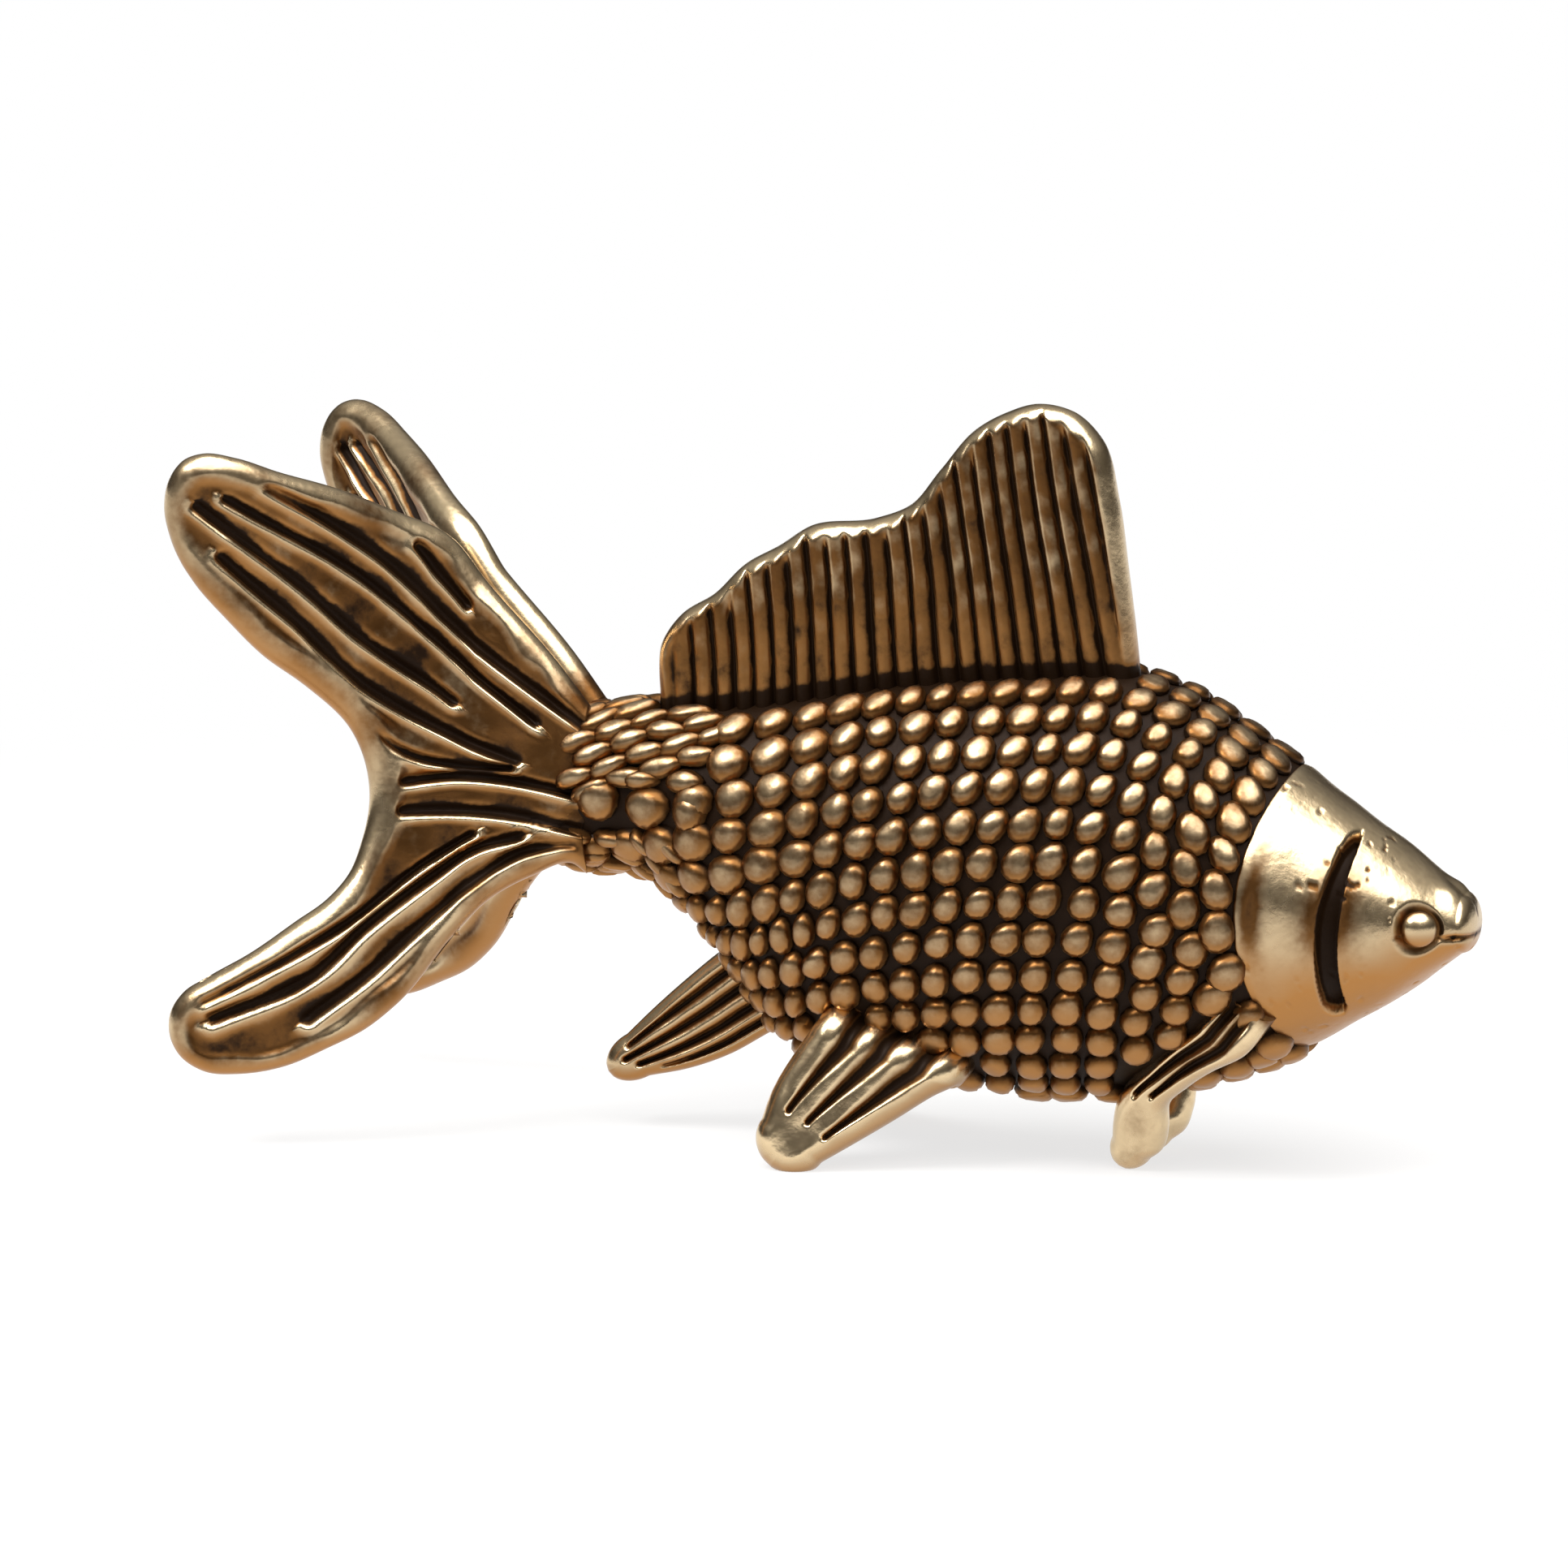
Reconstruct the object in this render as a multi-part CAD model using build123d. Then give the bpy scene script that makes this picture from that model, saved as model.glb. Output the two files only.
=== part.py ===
"""Cast brass goldfish ornament: scaled trunk, head, bead eyes, median fins, paired fins and a twin tail.

Millimetres. +X points to the snout and +Z up. The origin is on the table, under the middle of the fish.
Every fin has a tongue that is brazed into a pocket of the trunk. The head has a spigot in a bored socket.
"""

import os
from math import cos, pi, sin

from build123d import *

# Trunk and head
trunk_length = 26.0  # tail root to gill edge, at mid height
trunk_height = 15.75  # belly to back at the deepest place, under the scales
trunk_width = 12.2  # across the flanks, under the scales
belly_clearance = 2.5  # table to the lowest point of the belly
head_length = 8.06  # gill edge to snout tip
peduncle_height = 5.95  # the narrow root of the tail
peduncle_width = 4.4
peduncle_mid_height = 13.08  # its centre above the table
nose_length = 0.56  # rounded end of the snout

# Scales
scale_rows = 28  # round the trunk
scale_columns = 18  # along the trunk, under the gill edge included
scale_height = 0.5
scale_gap = 0.2  # share of a scale's cell that slopes down to the groove, on each side
scale_slant = 0.22  # lean of the columns from back to belly, as a share of the trunk's length

# Gill edge, gill slit, mouth, nose and eyes
gill_radius = 9.8  # arc of the gill edge, seen from the side
gill_height = 10.4  # its centre above the table
gill_groove = 0.4  # gap between head and trunk
gill_groove_depth = 0.7
slit_radius = 9.0
slit_width = 0.65
slit_depth = 0.7
slit_setback = 2.9  # gill edge to gill slit
slit_span = 6.9  # height of the slit
mouth_width = 0.35
mouth_length = 0.9
mouth_height = 9.35  # above the table
nose_radius = 1.0
nose_height = 10.2
nose_setback = 1.25  # snout tip to the bump's centre
eye_radius = 0.75
eye_setback = 1.75  # snout tip to eye
eye_height = 9.75
orbit_radius = 1.0  # dish round the eye
orbit_depth = 0.45
eye_peg = 0.6  # length of the eye's peg in the head

# Fits
fit_gap = 0.03  # brazing gap on each side of a tongue, spigot or bead
spigot_radius = 2.2
spigot_length = 4.0
tongue_depth = 1.6  # how far a paddle's tongue goes into the trunk

# Dorsal fin
dorsal_length = 18.5
dorsal_height = 9.9  # from the back at its front end
dorsal_setback = 4.75  # gill edge to the fin's front end
dorsal_thickness = 1.7
dorsal_foot = 3.1  # how far its foot goes into the back at its front end

# Anal fin
anal_length = 6.6
anal_width = 3.8
anal_thickness = 1.4
anal_setback = 19.8  # gill edge to the middle of its root
anal_dip = 30.0  # degrees under level

# Fin rays, cut into both faces of every fin
ray_width = 0.36
ray_depth = 0.3
dorsal_ray_pitch = 0.8
rim_width = 0.55  # plain border round the rays
rim_bevel = 0.3  # on the flat fins' edges
rim_points = 44  # corners round a flat fin

# Pelvic and pectoral fins, which carry the fish
pelvic_width = 4.8
pelvic_thickness = 2.0
pelvic_setback = 13.1  # gill edge to the middle of its root
pelvic_turn = 135.0  # degrees round the trunk, from the back
pelvic_dip = 54.0
pelvic_splay = 20.0  # degrees out from straight back
pectoral_width = 2.4
pectoral_thickness = 1.7
pectoral_setback = 0.7
pectoral_turn = 130.0
pectoral_dip = 52.0
pectoral_splay = -38.0  # inwards, along the belly
foot_depth = 0.25  # how much of each fin tip is ground flat to stand on

# Twin tail
tail_length = 13.8  # tail root to the tips
tail_height = 23.1  # lower tip to upper tip
tail_spread = 9.4  # mid plane to the tips
tail_seam = 4.1  # from the root, where the crests of both halves stay closed
tail_thickness = 1.5
tail_lift = 3.0  # table to the lower tips
tail_tongue = 2.0  # depth of its root block in the tail root

overall_length = tail_length + trunk_length + head_length
snout_x = overall_length / 2
gill_x = snout_x - head_length
root_x = gill_x - trunk_length
gill_axis_x = gill_x + gill_radius


def stations():
    """x, belly, back and half width of the fish under its scales, from the tail root to the nose."""
    low, deep, half = belly_clearance, trunk_height, trunk_width / 2
    root_low = peduncle_mid_height - peduncle_height / 2
    root_top = peduncle_mid_height + peduncle_height / 2
    return [
        (root_x, root_low, root_top, peduncle_width / 2),
        (root_x + 0.08 * trunk_length, root_low, root_top + 0.02 * deep, 0.57 * peduncle_width),
        (root_x + 0.185 * trunk_length, low + 0.34 * deep, low + 0.892 * deep, 0.55 * half),
        (root_x + 0.29 * trunk_length, low + 0.117 * deep, low + 0.917 * deep, 0.69 * half),
        (root_x + 0.47 * trunk_length, low + 0.029 * deep, low + 0.968 * deep, 0.885 * half),
        (root_x + 0.66 * trunk_length, low, low + deep, half),
        (root_x + 0.835 * trunk_length, low + 0.016 * deep, low + deep, 0.984 * half),
        (gill_x, low + 0.095 * deep, low + 0.854 * deep, 0.87 * half),
        (gill_x + 0.335 * head_length, low + 0.175 * deep, low + 0.737 * deep, 0.72 * half),
        (gill_x + 0.67 * head_length, low + 0.279 * deep, low + 0.622 * deep, 0.525 * half),
        (snout_x - nose_length, low + 0.381 * deep, low + 0.514 * deep, 0.28 * half),
    ]


STATIONS = stations()


def along(x, column):
    """A column of the stations at x, on a smooth curve through them."""
    last = len(STATIONS) - 2
    k = max(i for i in range(last + 1) if i == 0 or STATIONS[i][0] <= x)
    before, start = STATIONS[max(k - 1, 0)], STATIONS[k]
    end, after = STATIONS[k + 1], STATIONS[min(k + 2, last + 1)]
    span = end[0] - start[0]
    rise_start = (end[column] - before[column]) / (end[0] - before[0]) * span
    rise_end = (after[column] - start[column]) / (after[0] - start[0]) * span
    t = (x - start[0]) / span
    return (
        (2 * t**3 - 3 * t**2 + 1) * start[column]
        + (t**3 - 2 * t**2 + t) * rise_start
        + (3 * t**2 - 2 * t**3) * end[column]
        + (t**3 - t**2) * rise_end
    )


def section(x):
    """Centre height, half height and half width of the fish at x. The nose closes as a quarter ellipse."""
    nose_x = snout_x - nose_length
    belly, back, half = (along(min(x, nose_x), column) for column in (1, 2, 3))
    past = max(0.0, x - nose_x) / nose_length
    shrink = max(0.1, 1 - past**2) ** 0.5
    return (belly + back) / 2, (back - belly) / 2 * shrink, half * shrink


def form(places, inset, ruled=False):
    """The smooth fish through a row of places, with its skin moved in by inset."""
    rings = []
    for x in places:
        mid, high, half = section(x)
        plane = Plane(origin=(x, 0, mid), x_dir=(0, 0, -1), z_dir=(1, 0, 0))
        rings.append(plane * Ellipse(high - inset, half - inset))
    return loft(rings, ruled=ruled)


def skin_point(x, turn, lift):
    """A point of the trunk's skin at x, turned from the back round the right flank, raised by lift."""
    mid, high, half = section(x)
    return Vector(x, -(half + lift) * sin(turn), mid + (high + lift) * cos(turn))


def triangles(corners):
    """A four-cornered patch as two flat faces."""
    a, b, c, d = corners
    return [Face(Wire.make_polygon(three)) for three in ((a, b, c), (a, c, d))]


def scale_lean(along_share, turn):
    """How far the columns lean to the tail on their way down a flank, as a share of the trunk's length."""
    down = min(turn, 2 * pi - turn) / pi
    fade = min(1.0, 5 * along_share, 5 * (1 - along_share))
    return scale_slant * (0.5 - down) * fade


def scale_point(column, row, lift):
    """A point of the scaled skin, with column and row counted in scales."""
    front_x = gill_x + 0.31 * head_length
    share = column / scale_columns
    turn = row * 2 * pi / scale_rows
    x = root_x + (front_x - root_x) * (share + scale_lean(share, turn))
    return skin_point(x, turn, lift)


def scale_faces(column, row):
    """One raised scale: four sloping sides and a flat top, on its leaning cell of the skin."""
    corners = [(0, 0), (1, 0), (1, 1), (0, 1)]
    inner = [(scale_gap + u * (1 - 2 * scale_gap), scale_gap + v * (1 - 2 * scale_gap)) for u, v in corners]
    base = [scale_point(column + u, row + v, 0) for u, v in corners]
    top = [scale_point(column + u, row + v, scale_height) for u, v in inner]
    faces = triangles(top)
    for k in range(4):
        after = (k + 1) % 4
        faces += triangles([base[k], base[after], top[after], top[k]])
    return faces


def scaled_trunk():
    """The trunk as one closed skin of raised scales, running on under the gill edge."""
    faces = []
    for column in range(scale_columns):
        for row in range(scale_rows):
            faces += scale_faces(column, row)
    for column in (0, scale_columns):
        ring = [scale_point(column, row, 0) for row in range(scale_rows)]
        faces.append(Face(Wire.make_polygon(ring)))
    return Solid(Shell(faces))


def gill_drum(radius):
    """A drum lying across the fish whose rear side is the gill edge, seen from the side."""
    return Pos(gill_axis_x, 0, gill_height) * Cylinder(radius, 4 * trunk_width, rotation=(90, 0, 0))


def spigot(extra):
    """The peg of the head that goes into the trunk. Its socket is the same peg with extra all round."""
    length = spigot_length + gill_groove + 1.0 + extra
    middle = gill_x + 1.0 - length / 2
    return Pos(middle, 0, gill_height) * Cylinder(spigot_radius + extra, length, rotation=(0, 90, 0))


def eye_place(side):
    """Where an eye sits on the head's skin: its own Z points out of the head."""
    mid, high, half = section(snout_x - eye_setback)
    out = Vector(0.35, side, 0.0)
    centre = Vector(snout_x - eye_setback, side * half, eye_height)
    return Plane(origin=centre, x_dir=(0, 0, 1), z_dir=out).location


def eye_bead():
    """A turned bead in its own frame: a peg, a collar and a domed top."""
    peg, collar, dome = 0.6 * eye_radius, eye_radius, 0.75 * eye_radius
    seat = -orbit_depth + fit_gap
    profile = [(0, seat - eye_peg), (peg, seat - eye_peg), (peg, seat)]
    profile += [(collar, seat), (collar, seat + 0.45 * collar), (dome, seat + 0.85 * collar)]
    profile += [(0.4 * collar, seat + 1.08 * collar), (0, seat + 1.12 * collar)]
    outline = make_face(Polyline(*[(x, 0, z) for x, z in profile], close=True))
    return revolve(outline, Axis.Z)


def eye_room():
    """The dished orbit with a flat floor, and the hole for the eye's peg."""
    wide, deep = orbit_radius, orbit_depth
    dish = Pos(0, 0, deep / 2) * Cone(1.1 * eye_radius, wide + (wide - eye_radius), 3 * deep)
    hole = Pos(0, 0, -deep) * Cylinder(0.6 * eye_radius + fit_gap, 2 * (eye_peg + fit_gap))
    return dish + hole


def build_head():
    places = [gill_x + share * head_length for share in (-0.1, 0.08, 0.25, 0.42, 0.6, 0.78, 0.9)]
    nose_x = snout_x - nose_length
    places.append(nose_x)
    cap = [nose_x + share * nose_length for share in (0.0, 0.4, 0.75, 1.0)]
    cover = form(places, 0) & gill_drum(gill_radius)
    core = form(places[:6], gill_groove_depth) & gill_drum(gill_radius + gill_groove - fit_gap)
    bump = Pos(snout_x - nose_setback, 0, nose_height) * Sphere(nose_radius)
    head = cover + core + form(cap, 0, ruled=True) + bump + spigot(0)

    slit_x = gill_x + slit_setback + slit_radius
    band = Circle(slit_radius + slit_width / 2) - Circle(slit_radius - slit_width / 2)
    band &= Pos(-slit_radius, 0) * Rectangle(slit_radius, slit_span)
    slit = extrude(Plane.XZ * Pos(slit_x, gill_height - 0.3) * band, trunk_width, both=True)
    head -= slit - form(places, slit_depth)
    head -= Pos(snout_x, 0, mouth_height) * Box(2 * mouth_length, trunk_width, mouth_width)
    for side in (-1, 1):
        head -= eye_place(side) * eye_room()
    return head


def facets(outline, count):
    """A closed outline as a polygon: count corners on its curved part, and its straight part as it is."""
    corners = []
    rim = outline.wire()
    for edge in rim.order_edges():
        steps = 1 if edge.geom_type == GeomType.LINE else max(2, round(count * edge.length / rim.length))
        corners += [edge @ (k / steps) for k in range(steps)]
    return make_face(Polyline(*corners, close=True))


def inside_rim(outline):
    """The part of a fin's outline that lies inside its plain rim, as a polygon."""
    wire = offset(outline, -rim_width).wire()
    return make_face(Polyline(*[wire @ (k / rim_points) for k in range(rim_points)], close=True))


def rayed_blade(outline, rays, thickness):
    """A flat fin in its own XY plane: bevelled edge, and grooves between its rays on both faces."""
    flat = facets(outline, rim_points)
    core = thickness / 2 - rim_bevel
    face = offset(flat, -rim_bevel, kind=Kind.INTERSECTION)
    top = loft([Pos(0, 0, core) * flat, Pos(0, 0, thickness / 2) * face], ruled=True)
    blade = extrude(flat, core, both=True) + top + mirror(top, about=Plane.XY)
    cuts = extrude(rays & inside_rim(outline), thickness, both=True)
    return blade - (cuts - extrude(flat, thickness / 2 - ray_depth, both=True))


def dorsal_outline():
    front_x = gill_x - dorsal_setback
    base_z = along(front_x, 2)
    shape = [(0.0, 0.08), (0.03, 0.42), (0.08, 0.87), (0.215, 1.0), (0.37, 0.83), (0.51, 0.56)]
    shape += [(0.685, 0.5), (0.88, 0.25), (0.96, 0.14), (1.0, 0.0)]
    edge = [(front_x - back * dorsal_length, base_z + up * dorsal_height) for back, up in shape]
    rear_x, floor_z = edge[-1][0], base_z - dorsal_foot
    foot = [edge[-1], (rear_x, floor_z), (front_x, floor_z), edge[0]]
    return make_face(Spline(*edge, tangents=((0, 1), (0, -1))) + Polyline(*foot))


def dorsal_pocket():
    """The slot for the dorsal fin's foot in the back, with the brazing gap."""
    front_x = gill_x - dorsal_setback
    height = 2 * dorsal_foot + 2 * fit_gap
    place = Pos(front_x - dorsal_length / 2, 0, along(front_x, 2))
    return place * Box(dorsal_length + 2 * fit_gap, dorsal_thickness + 2 * fit_gap, height)


def dorsal_rays():
    """Upright at the rear and leaning back towards the front."""
    count = round(dorsal_length / dorsal_ray_pitch)
    rays = Sketch()
    for k in range(1, count):
        x = gill_x - dorsal_setback - dorsal_length * k / count
        lean = 11.5 * (1 - k / count)
        foot = Pos(x, along(x, 2) + scale_height + 0.3)
        rays += foot * Rot(0, 0, lean) * Pos(0, dorsal_height / 2) * Rectangle(ray_width, dorsal_height)
    return rays


def paddle_outline(length, root, waist, tip):
    """A paddle in its own plane: x from the trunk's skin to a round tip. It runs on inside the trunk."""
    radius = tip / 2
    start, bend, end = (0, root / 2), (0.45 * length, waist / 2), (length - radius, radius)
    inner = -tongue_depth
    upper = Spline(start, bend, end, tangents=((1, 0), (1, 0)))
    lower = mirror(upper, about=Plane.XZ)
    cap = ThreePointArc(end, (length, 0), (end[0], -radius))
    foot = Polyline((0, -root / 2), (inner, -root / 2), (inner, root / 2), start)
    return make_face(upper + cap + lower + foot)


def paddle_pocket(length, root, thickness):
    """The slot for a paddle's tongue, in the paddle's plane, with the brazing gap. It clears all of it."""
    reach = length + tongue_depth + fit_gap
    middle = length - reach / 2
    return Pos(middle, 0, 0) * Box(reach, root + 2 * fit_gap, thickness + 2 * fit_gap)


def paddle_rays(length, root, count):
    """Grooves that run from the root and close up towards the tip."""
    rays = Sketch()
    for k in range(count):
        offset_y = root * ((k + 1) / (count + 1) - 0.5)
        close = -offset_y / (1.6 * length) * 180 / pi
        start = Pos(0.1 * length, offset_y) * Rot(0, 0, close)
        rays += start * Pos(length / 2, 0) * Rectangle(length, ray_width)
    return rays


def fin_plane(root, dip, splay):
    """A fin's own plane at its root: X runs back, down by dip and out to the right by splay, in degrees."""
    down, out = dip * pi / 180, splay * pi / 180
    run = Vector(-cos(down) * cos(out), -cos(down) * sin(out), -sin(down))
    right = Vector(0, -1, 0)
    return Plane(origin=root, x_dir=run, z_dir=right - run * right.dot(run))


def carrying_fin(setback, turn, dip, splay, width, waist, tip, thickness, rays):
    """A right paired fin, long enough to reach the table, and the room it needs in the trunk."""
    root = skin_point(gill_x - setback, turn * pi / 180, 0)
    length = (root.Z + foot_depth) / sin(dip * pi / 180)
    outline = paddle_outline(length, width, waist * width, tip * width)
    place = fin_plane(root, dip, splay).location
    blade = place * rayed_blade(outline, paddle_rays(length, width, rays), thickness)
    under_table = Pos(0, 0, -length) * Box(4 * overall_length, 4 * overall_length, 2 * length)
    return blade - under_table, place * paddle_pocket(length, width, thickness)


def tail_place(back, up):
    """x and z of a place on the tail: shares of its length from the root and of its height from below."""
    return root_x - back * tail_length, tail_lift + up * tail_height


def tail_outline():
    """The tail from the side: upper lobe, notch, lower lobe."""
    root = root_x - fit_gap
    shape = [(0.32, 0.805), (0.57, 0.918), (0.89, 1.01), (0.985, 0.935), (0.935, 0.81), (0.8, 0.705)]
    shape += [(0.61, 0.583), (0.526, 0.435), (0.59, 0.297), (0.8, 0.196), (0.945, 0.144), (1.0, 0.095)]
    shape += [(0.97, 0.033), (0.86, 0.0), (0.72, 0.008), (0.48, 0.08), (0.3, 0.21), (0.12, 0.3)]
    low, top = peduncle_mid_height - peduncle_height / 2, peduncle_mid_height + peduncle_height / 2
    edge = [(root, top)] + [tail_place(*place) for place in shape] + [(root, low)]
    return make_face(Spline(*edge) + Line(edge[-1], edge[0]))


def tail_rays():
    """Grooves that fan from the root: upper lobe, middle and lower lobe."""
    fan = [((0.33, 0.736), (0.46, 0.838)), ((0.02, 0.553), (0.76, 0.952)), ((0.13, 0.548), (0.85, 0.941))]
    fan += [((0.35, 0.583), (0.9, 0.925)), ((0.35, 0.533), (0.86, 0.847)), ((0.35, 0.484), (0.54, 0.543))]
    fan += [((0.03, 0.44), (0.46, 0.462)), ((0.03, 0.385), (0.46, 0.415)), ((0.28, 0.372), (0.9, 0.128))]
    fan += [((0.2, 0.362), (0.88, 0.097)), ((0.14, 0.345), (0.66, 0.09))]
    rays = Sketch()
    for start, end in fan:
        bar = Line(tail_place(*start), tail_place(*end))
        tilt = bar.tangent_angle_at(0.5)
        rays += Pos(bar @ 0.5) * Rot(0, 0, tilt) * Rectangle(bar.length, 1.3 * ray_width)
    return rays


def tail_line(back):
    """Crest and hem of the tail's right half at a share of its length: closed at the root, then spread."""
    seam = tail_thickness / 2
    flare = tail_spread - tail_thickness
    top = peduncle_mid_height + peduncle_height / 2
    rise = tail_lift + tail_height - top
    crest_z = top + rise * (0.06 + 2.2 * back - 1.15 * back**2)
    closed = tail_seam / tail_length
    opening = min(max((back - closed) / (0.95 - closed), 0.0), 1.0)
    crest_y = -seam - flare * opening**2 * (3 - 2 * opening)
    hem_y = -seam - flare * ((back + 0.1) / 1.2) ** 0.5
    x, hem_z = tail_place(back, -0.026)
    return Vector(x, crest_y, crest_z), Vector(x, hem_y, hem_z)


def tail_sheet(thickness):
    """The right half of the tail, still uncut, lofted through upright slices."""
    slices = []
    for back in (-0.05, 0.1, 0.3, 0.45, 0.6, 0.75, 0.9, 1.12):
        crest, hem = tail_line(back)
        fall = (hem - crest).normalized()
        out = Vector(0, fall.Z, -fall.Y) * (thickness / 2)
        step = 0.01
        ahead, behind = tail_line(back + step), tail_line(back - step)
        slopes = [(a - b).Y / (2 * step * tail_length) for a, b in zip(ahead, behind)]
        crest_out, hem_out = (out * (1 + slope**2) ** 0.5 for slope in slopes)
        corners = [crest + crest_out, hem + hem_out, hem - hem_out, crest - crest_out]
        slices.append(make_face(Polyline(*corners, close=True)))
    return loft(slices, ruled=True)


def tail_tongue_block(extra):
    """The root block of both tail halves, in the tail root's slot. The slot has extra all round."""
    deep = tail_tongue + extra
    wide, high = 0.6 * peduncle_width + 2 * extra, 0.55 * peduncle_height + 2 * extra
    return Pos(root_x + deep / 2, 0, peduncle_mid_height) * Box(deep, wide, high)


def build_tail():
    """The right half of the tail, with its half of the root block."""
    outline = tail_outline()
    side = extrude(Plane.XZ * facets(outline, 2 * rim_points), 2 * tail_spread)
    blade = tail_sheet(tail_thickness) & side
    bars = tail_rays() & inside_rim(outline)
    cuts = extrude(Plane.XZ * bars, 2 * tail_spread)
    blade -= cuts - tail_sheet(tail_thickness - 2 * ray_depth)
    block = tail_tongue_block(0) + Pos(-1.0, 0, 0) * tail_tongue_block(0)
    right = Pos(root_x, -tail_spread - fit_gap / 2, peduncle_mid_height)
    return blade + (block & right * Box(4 * tail_length, 2 * tail_spread, 2 * tail_height))


def build():
    """Every piece under its name."""
    neck = gill_drum(gill_radius + gill_groove + 0.5)
    rooms = [gill_drum(gill_radius + gill_groove), spigot(fit_gap), tail_tongue_block(fit_gap)]
    pieces = {}

    outline = dorsal_outline()
    pieces["dorsal_fin"] = Plane.XZ.location * rayed_blade(outline, dorsal_rays(), dorsal_thickness)
    rooms.append(dorsal_pocket())

    root_place = gill_x - anal_setback
    outline = paddle_outline(anal_length, anal_width, 0.83 * anal_width, 0.5 * anal_width)
    place = fin_plane((root_place, 0, along(root_place, 1)), anal_dip, 0).location
    pieces["anal_fin"] = place * rayed_blade(outline, paddle_rays(anal_length, anal_width, 4), anal_thickness)
    rooms.append(place * paddle_pocket(anal_length, anal_width, anal_thickness))

    pelvic, room = carrying_fin(
        pelvic_setback, pelvic_turn, pelvic_dip, pelvic_splay,
        pelvic_width, 0.88, 0.54, pelvic_thickness, 4,
    )
    pieces["pelvic_fin_right"] = pelvic
    pieces["pelvic_fin_left"] = mirror(pelvic, about=Plane.XZ)
    rooms += [room, mirror(room, about=Plane.XZ)]

    pectoral, room = carrying_fin(
        pectoral_setback, pectoral_turn, pectoral_dip, pectoral_splay,
        pectoral_width, 0.83, 0.92, pectoral_thickness, 2,
    )
    pectoral -= neck
    pieces["pectoral_fin_right"] = pectoral
    pieces["pectoral_fin_left"] = mirror(pectoral, about=Plane.XZ)
    rooms += [room, mirror(room, about=Plane.XZ)]

    tail = build_tail()
    pieces["tail_fin_right"] = tail
    pieces["tail_fin_left"] = mirror(tail, about=Plane.XZ)
    pieces["head"] = build_head()
    for side, name in ((-1, "eye_right"), (1, "eye_left")):
        pieces[name] = eye_place(side) * eye_bead()
    chips = scaled_trunk() - rooms
    pieces["trunk"] = max(chips.solids(), key=lambda solid: solid.volume)
    return pieces


os.makedirs("parts", exist_ok=True)
for name, piece in build().items():
    export_step(piece, f"parts/{name}.step")
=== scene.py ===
# %% [markdown]
# # A cast brass goldfish
#
# The real thing is a small solid ornament: a goldfish with a twin tail, cast in brass, blackened all
# over and then polished, so that the patina stays in every groove. The frame below comes from CAD:
# trunk, head, eyes and fins, each in its place. Here every piece is modelled again with the relief that
# the casting has, and gets its antique finish.

import math
import random

import bmesh
import bpy
import numpy as np
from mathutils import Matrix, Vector, noise


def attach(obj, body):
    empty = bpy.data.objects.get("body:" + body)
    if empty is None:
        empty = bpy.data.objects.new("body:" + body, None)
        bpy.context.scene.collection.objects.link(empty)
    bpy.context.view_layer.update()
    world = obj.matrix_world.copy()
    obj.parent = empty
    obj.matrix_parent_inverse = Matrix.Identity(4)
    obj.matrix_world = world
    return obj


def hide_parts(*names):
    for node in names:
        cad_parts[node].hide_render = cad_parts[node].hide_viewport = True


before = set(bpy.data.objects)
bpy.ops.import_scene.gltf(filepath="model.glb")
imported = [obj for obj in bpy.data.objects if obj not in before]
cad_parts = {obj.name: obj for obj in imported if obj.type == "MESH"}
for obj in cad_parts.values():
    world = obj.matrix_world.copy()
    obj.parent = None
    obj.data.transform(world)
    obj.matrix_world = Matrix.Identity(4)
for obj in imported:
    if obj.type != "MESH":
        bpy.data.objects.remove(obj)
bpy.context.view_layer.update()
MM = 0.001

# %% [markdown]
# ## Camera
#
# The fish is seen from its right side, a little from in front and from above, with a long lens. A small
# shift puts it where the photograph has it, to the right of the middle.

# %% Camera
azimuth, elevation = math.radians(16.0), math.radians(9.8)
camera_distance = 0.300
camera_target = Vector((-1.26, 0.0, 13.6)) * MM
camera_back = Vector(
    (
        math.sin(azimuth) * math.cos(elevation),
        -math.cos(azimuth) * math.cos(elevation),
        math.sin(elevation),
    )
)
camera_data = bpy.data.cameras.new("photo_camera")
camera_data.sensor_width = 36.0
camera_data.lens = 183.9
camera_data.shift_x = -0.0228
camera_data.clip_start = 0.01
camera = bpy.data.objects.new("photo_camera", camera_data)
camera.location = camera_target + camera_back * camera_distance
camera.rotation_euler = camera_back.to_track_quat("Z", "Y").to_euler()
bpy.context.collection.objects.link(camera)
bpy.context.scene.camera = camera
print("camera at", [round(c, 4) for c in camera.location])

# %% [markdown]
# ## Node helpers
#
# Finishes are sums and products of masks. A small class wraps a socket, so that a mask can be written
# as an ordinary expression, and one method adds any other node.


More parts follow.
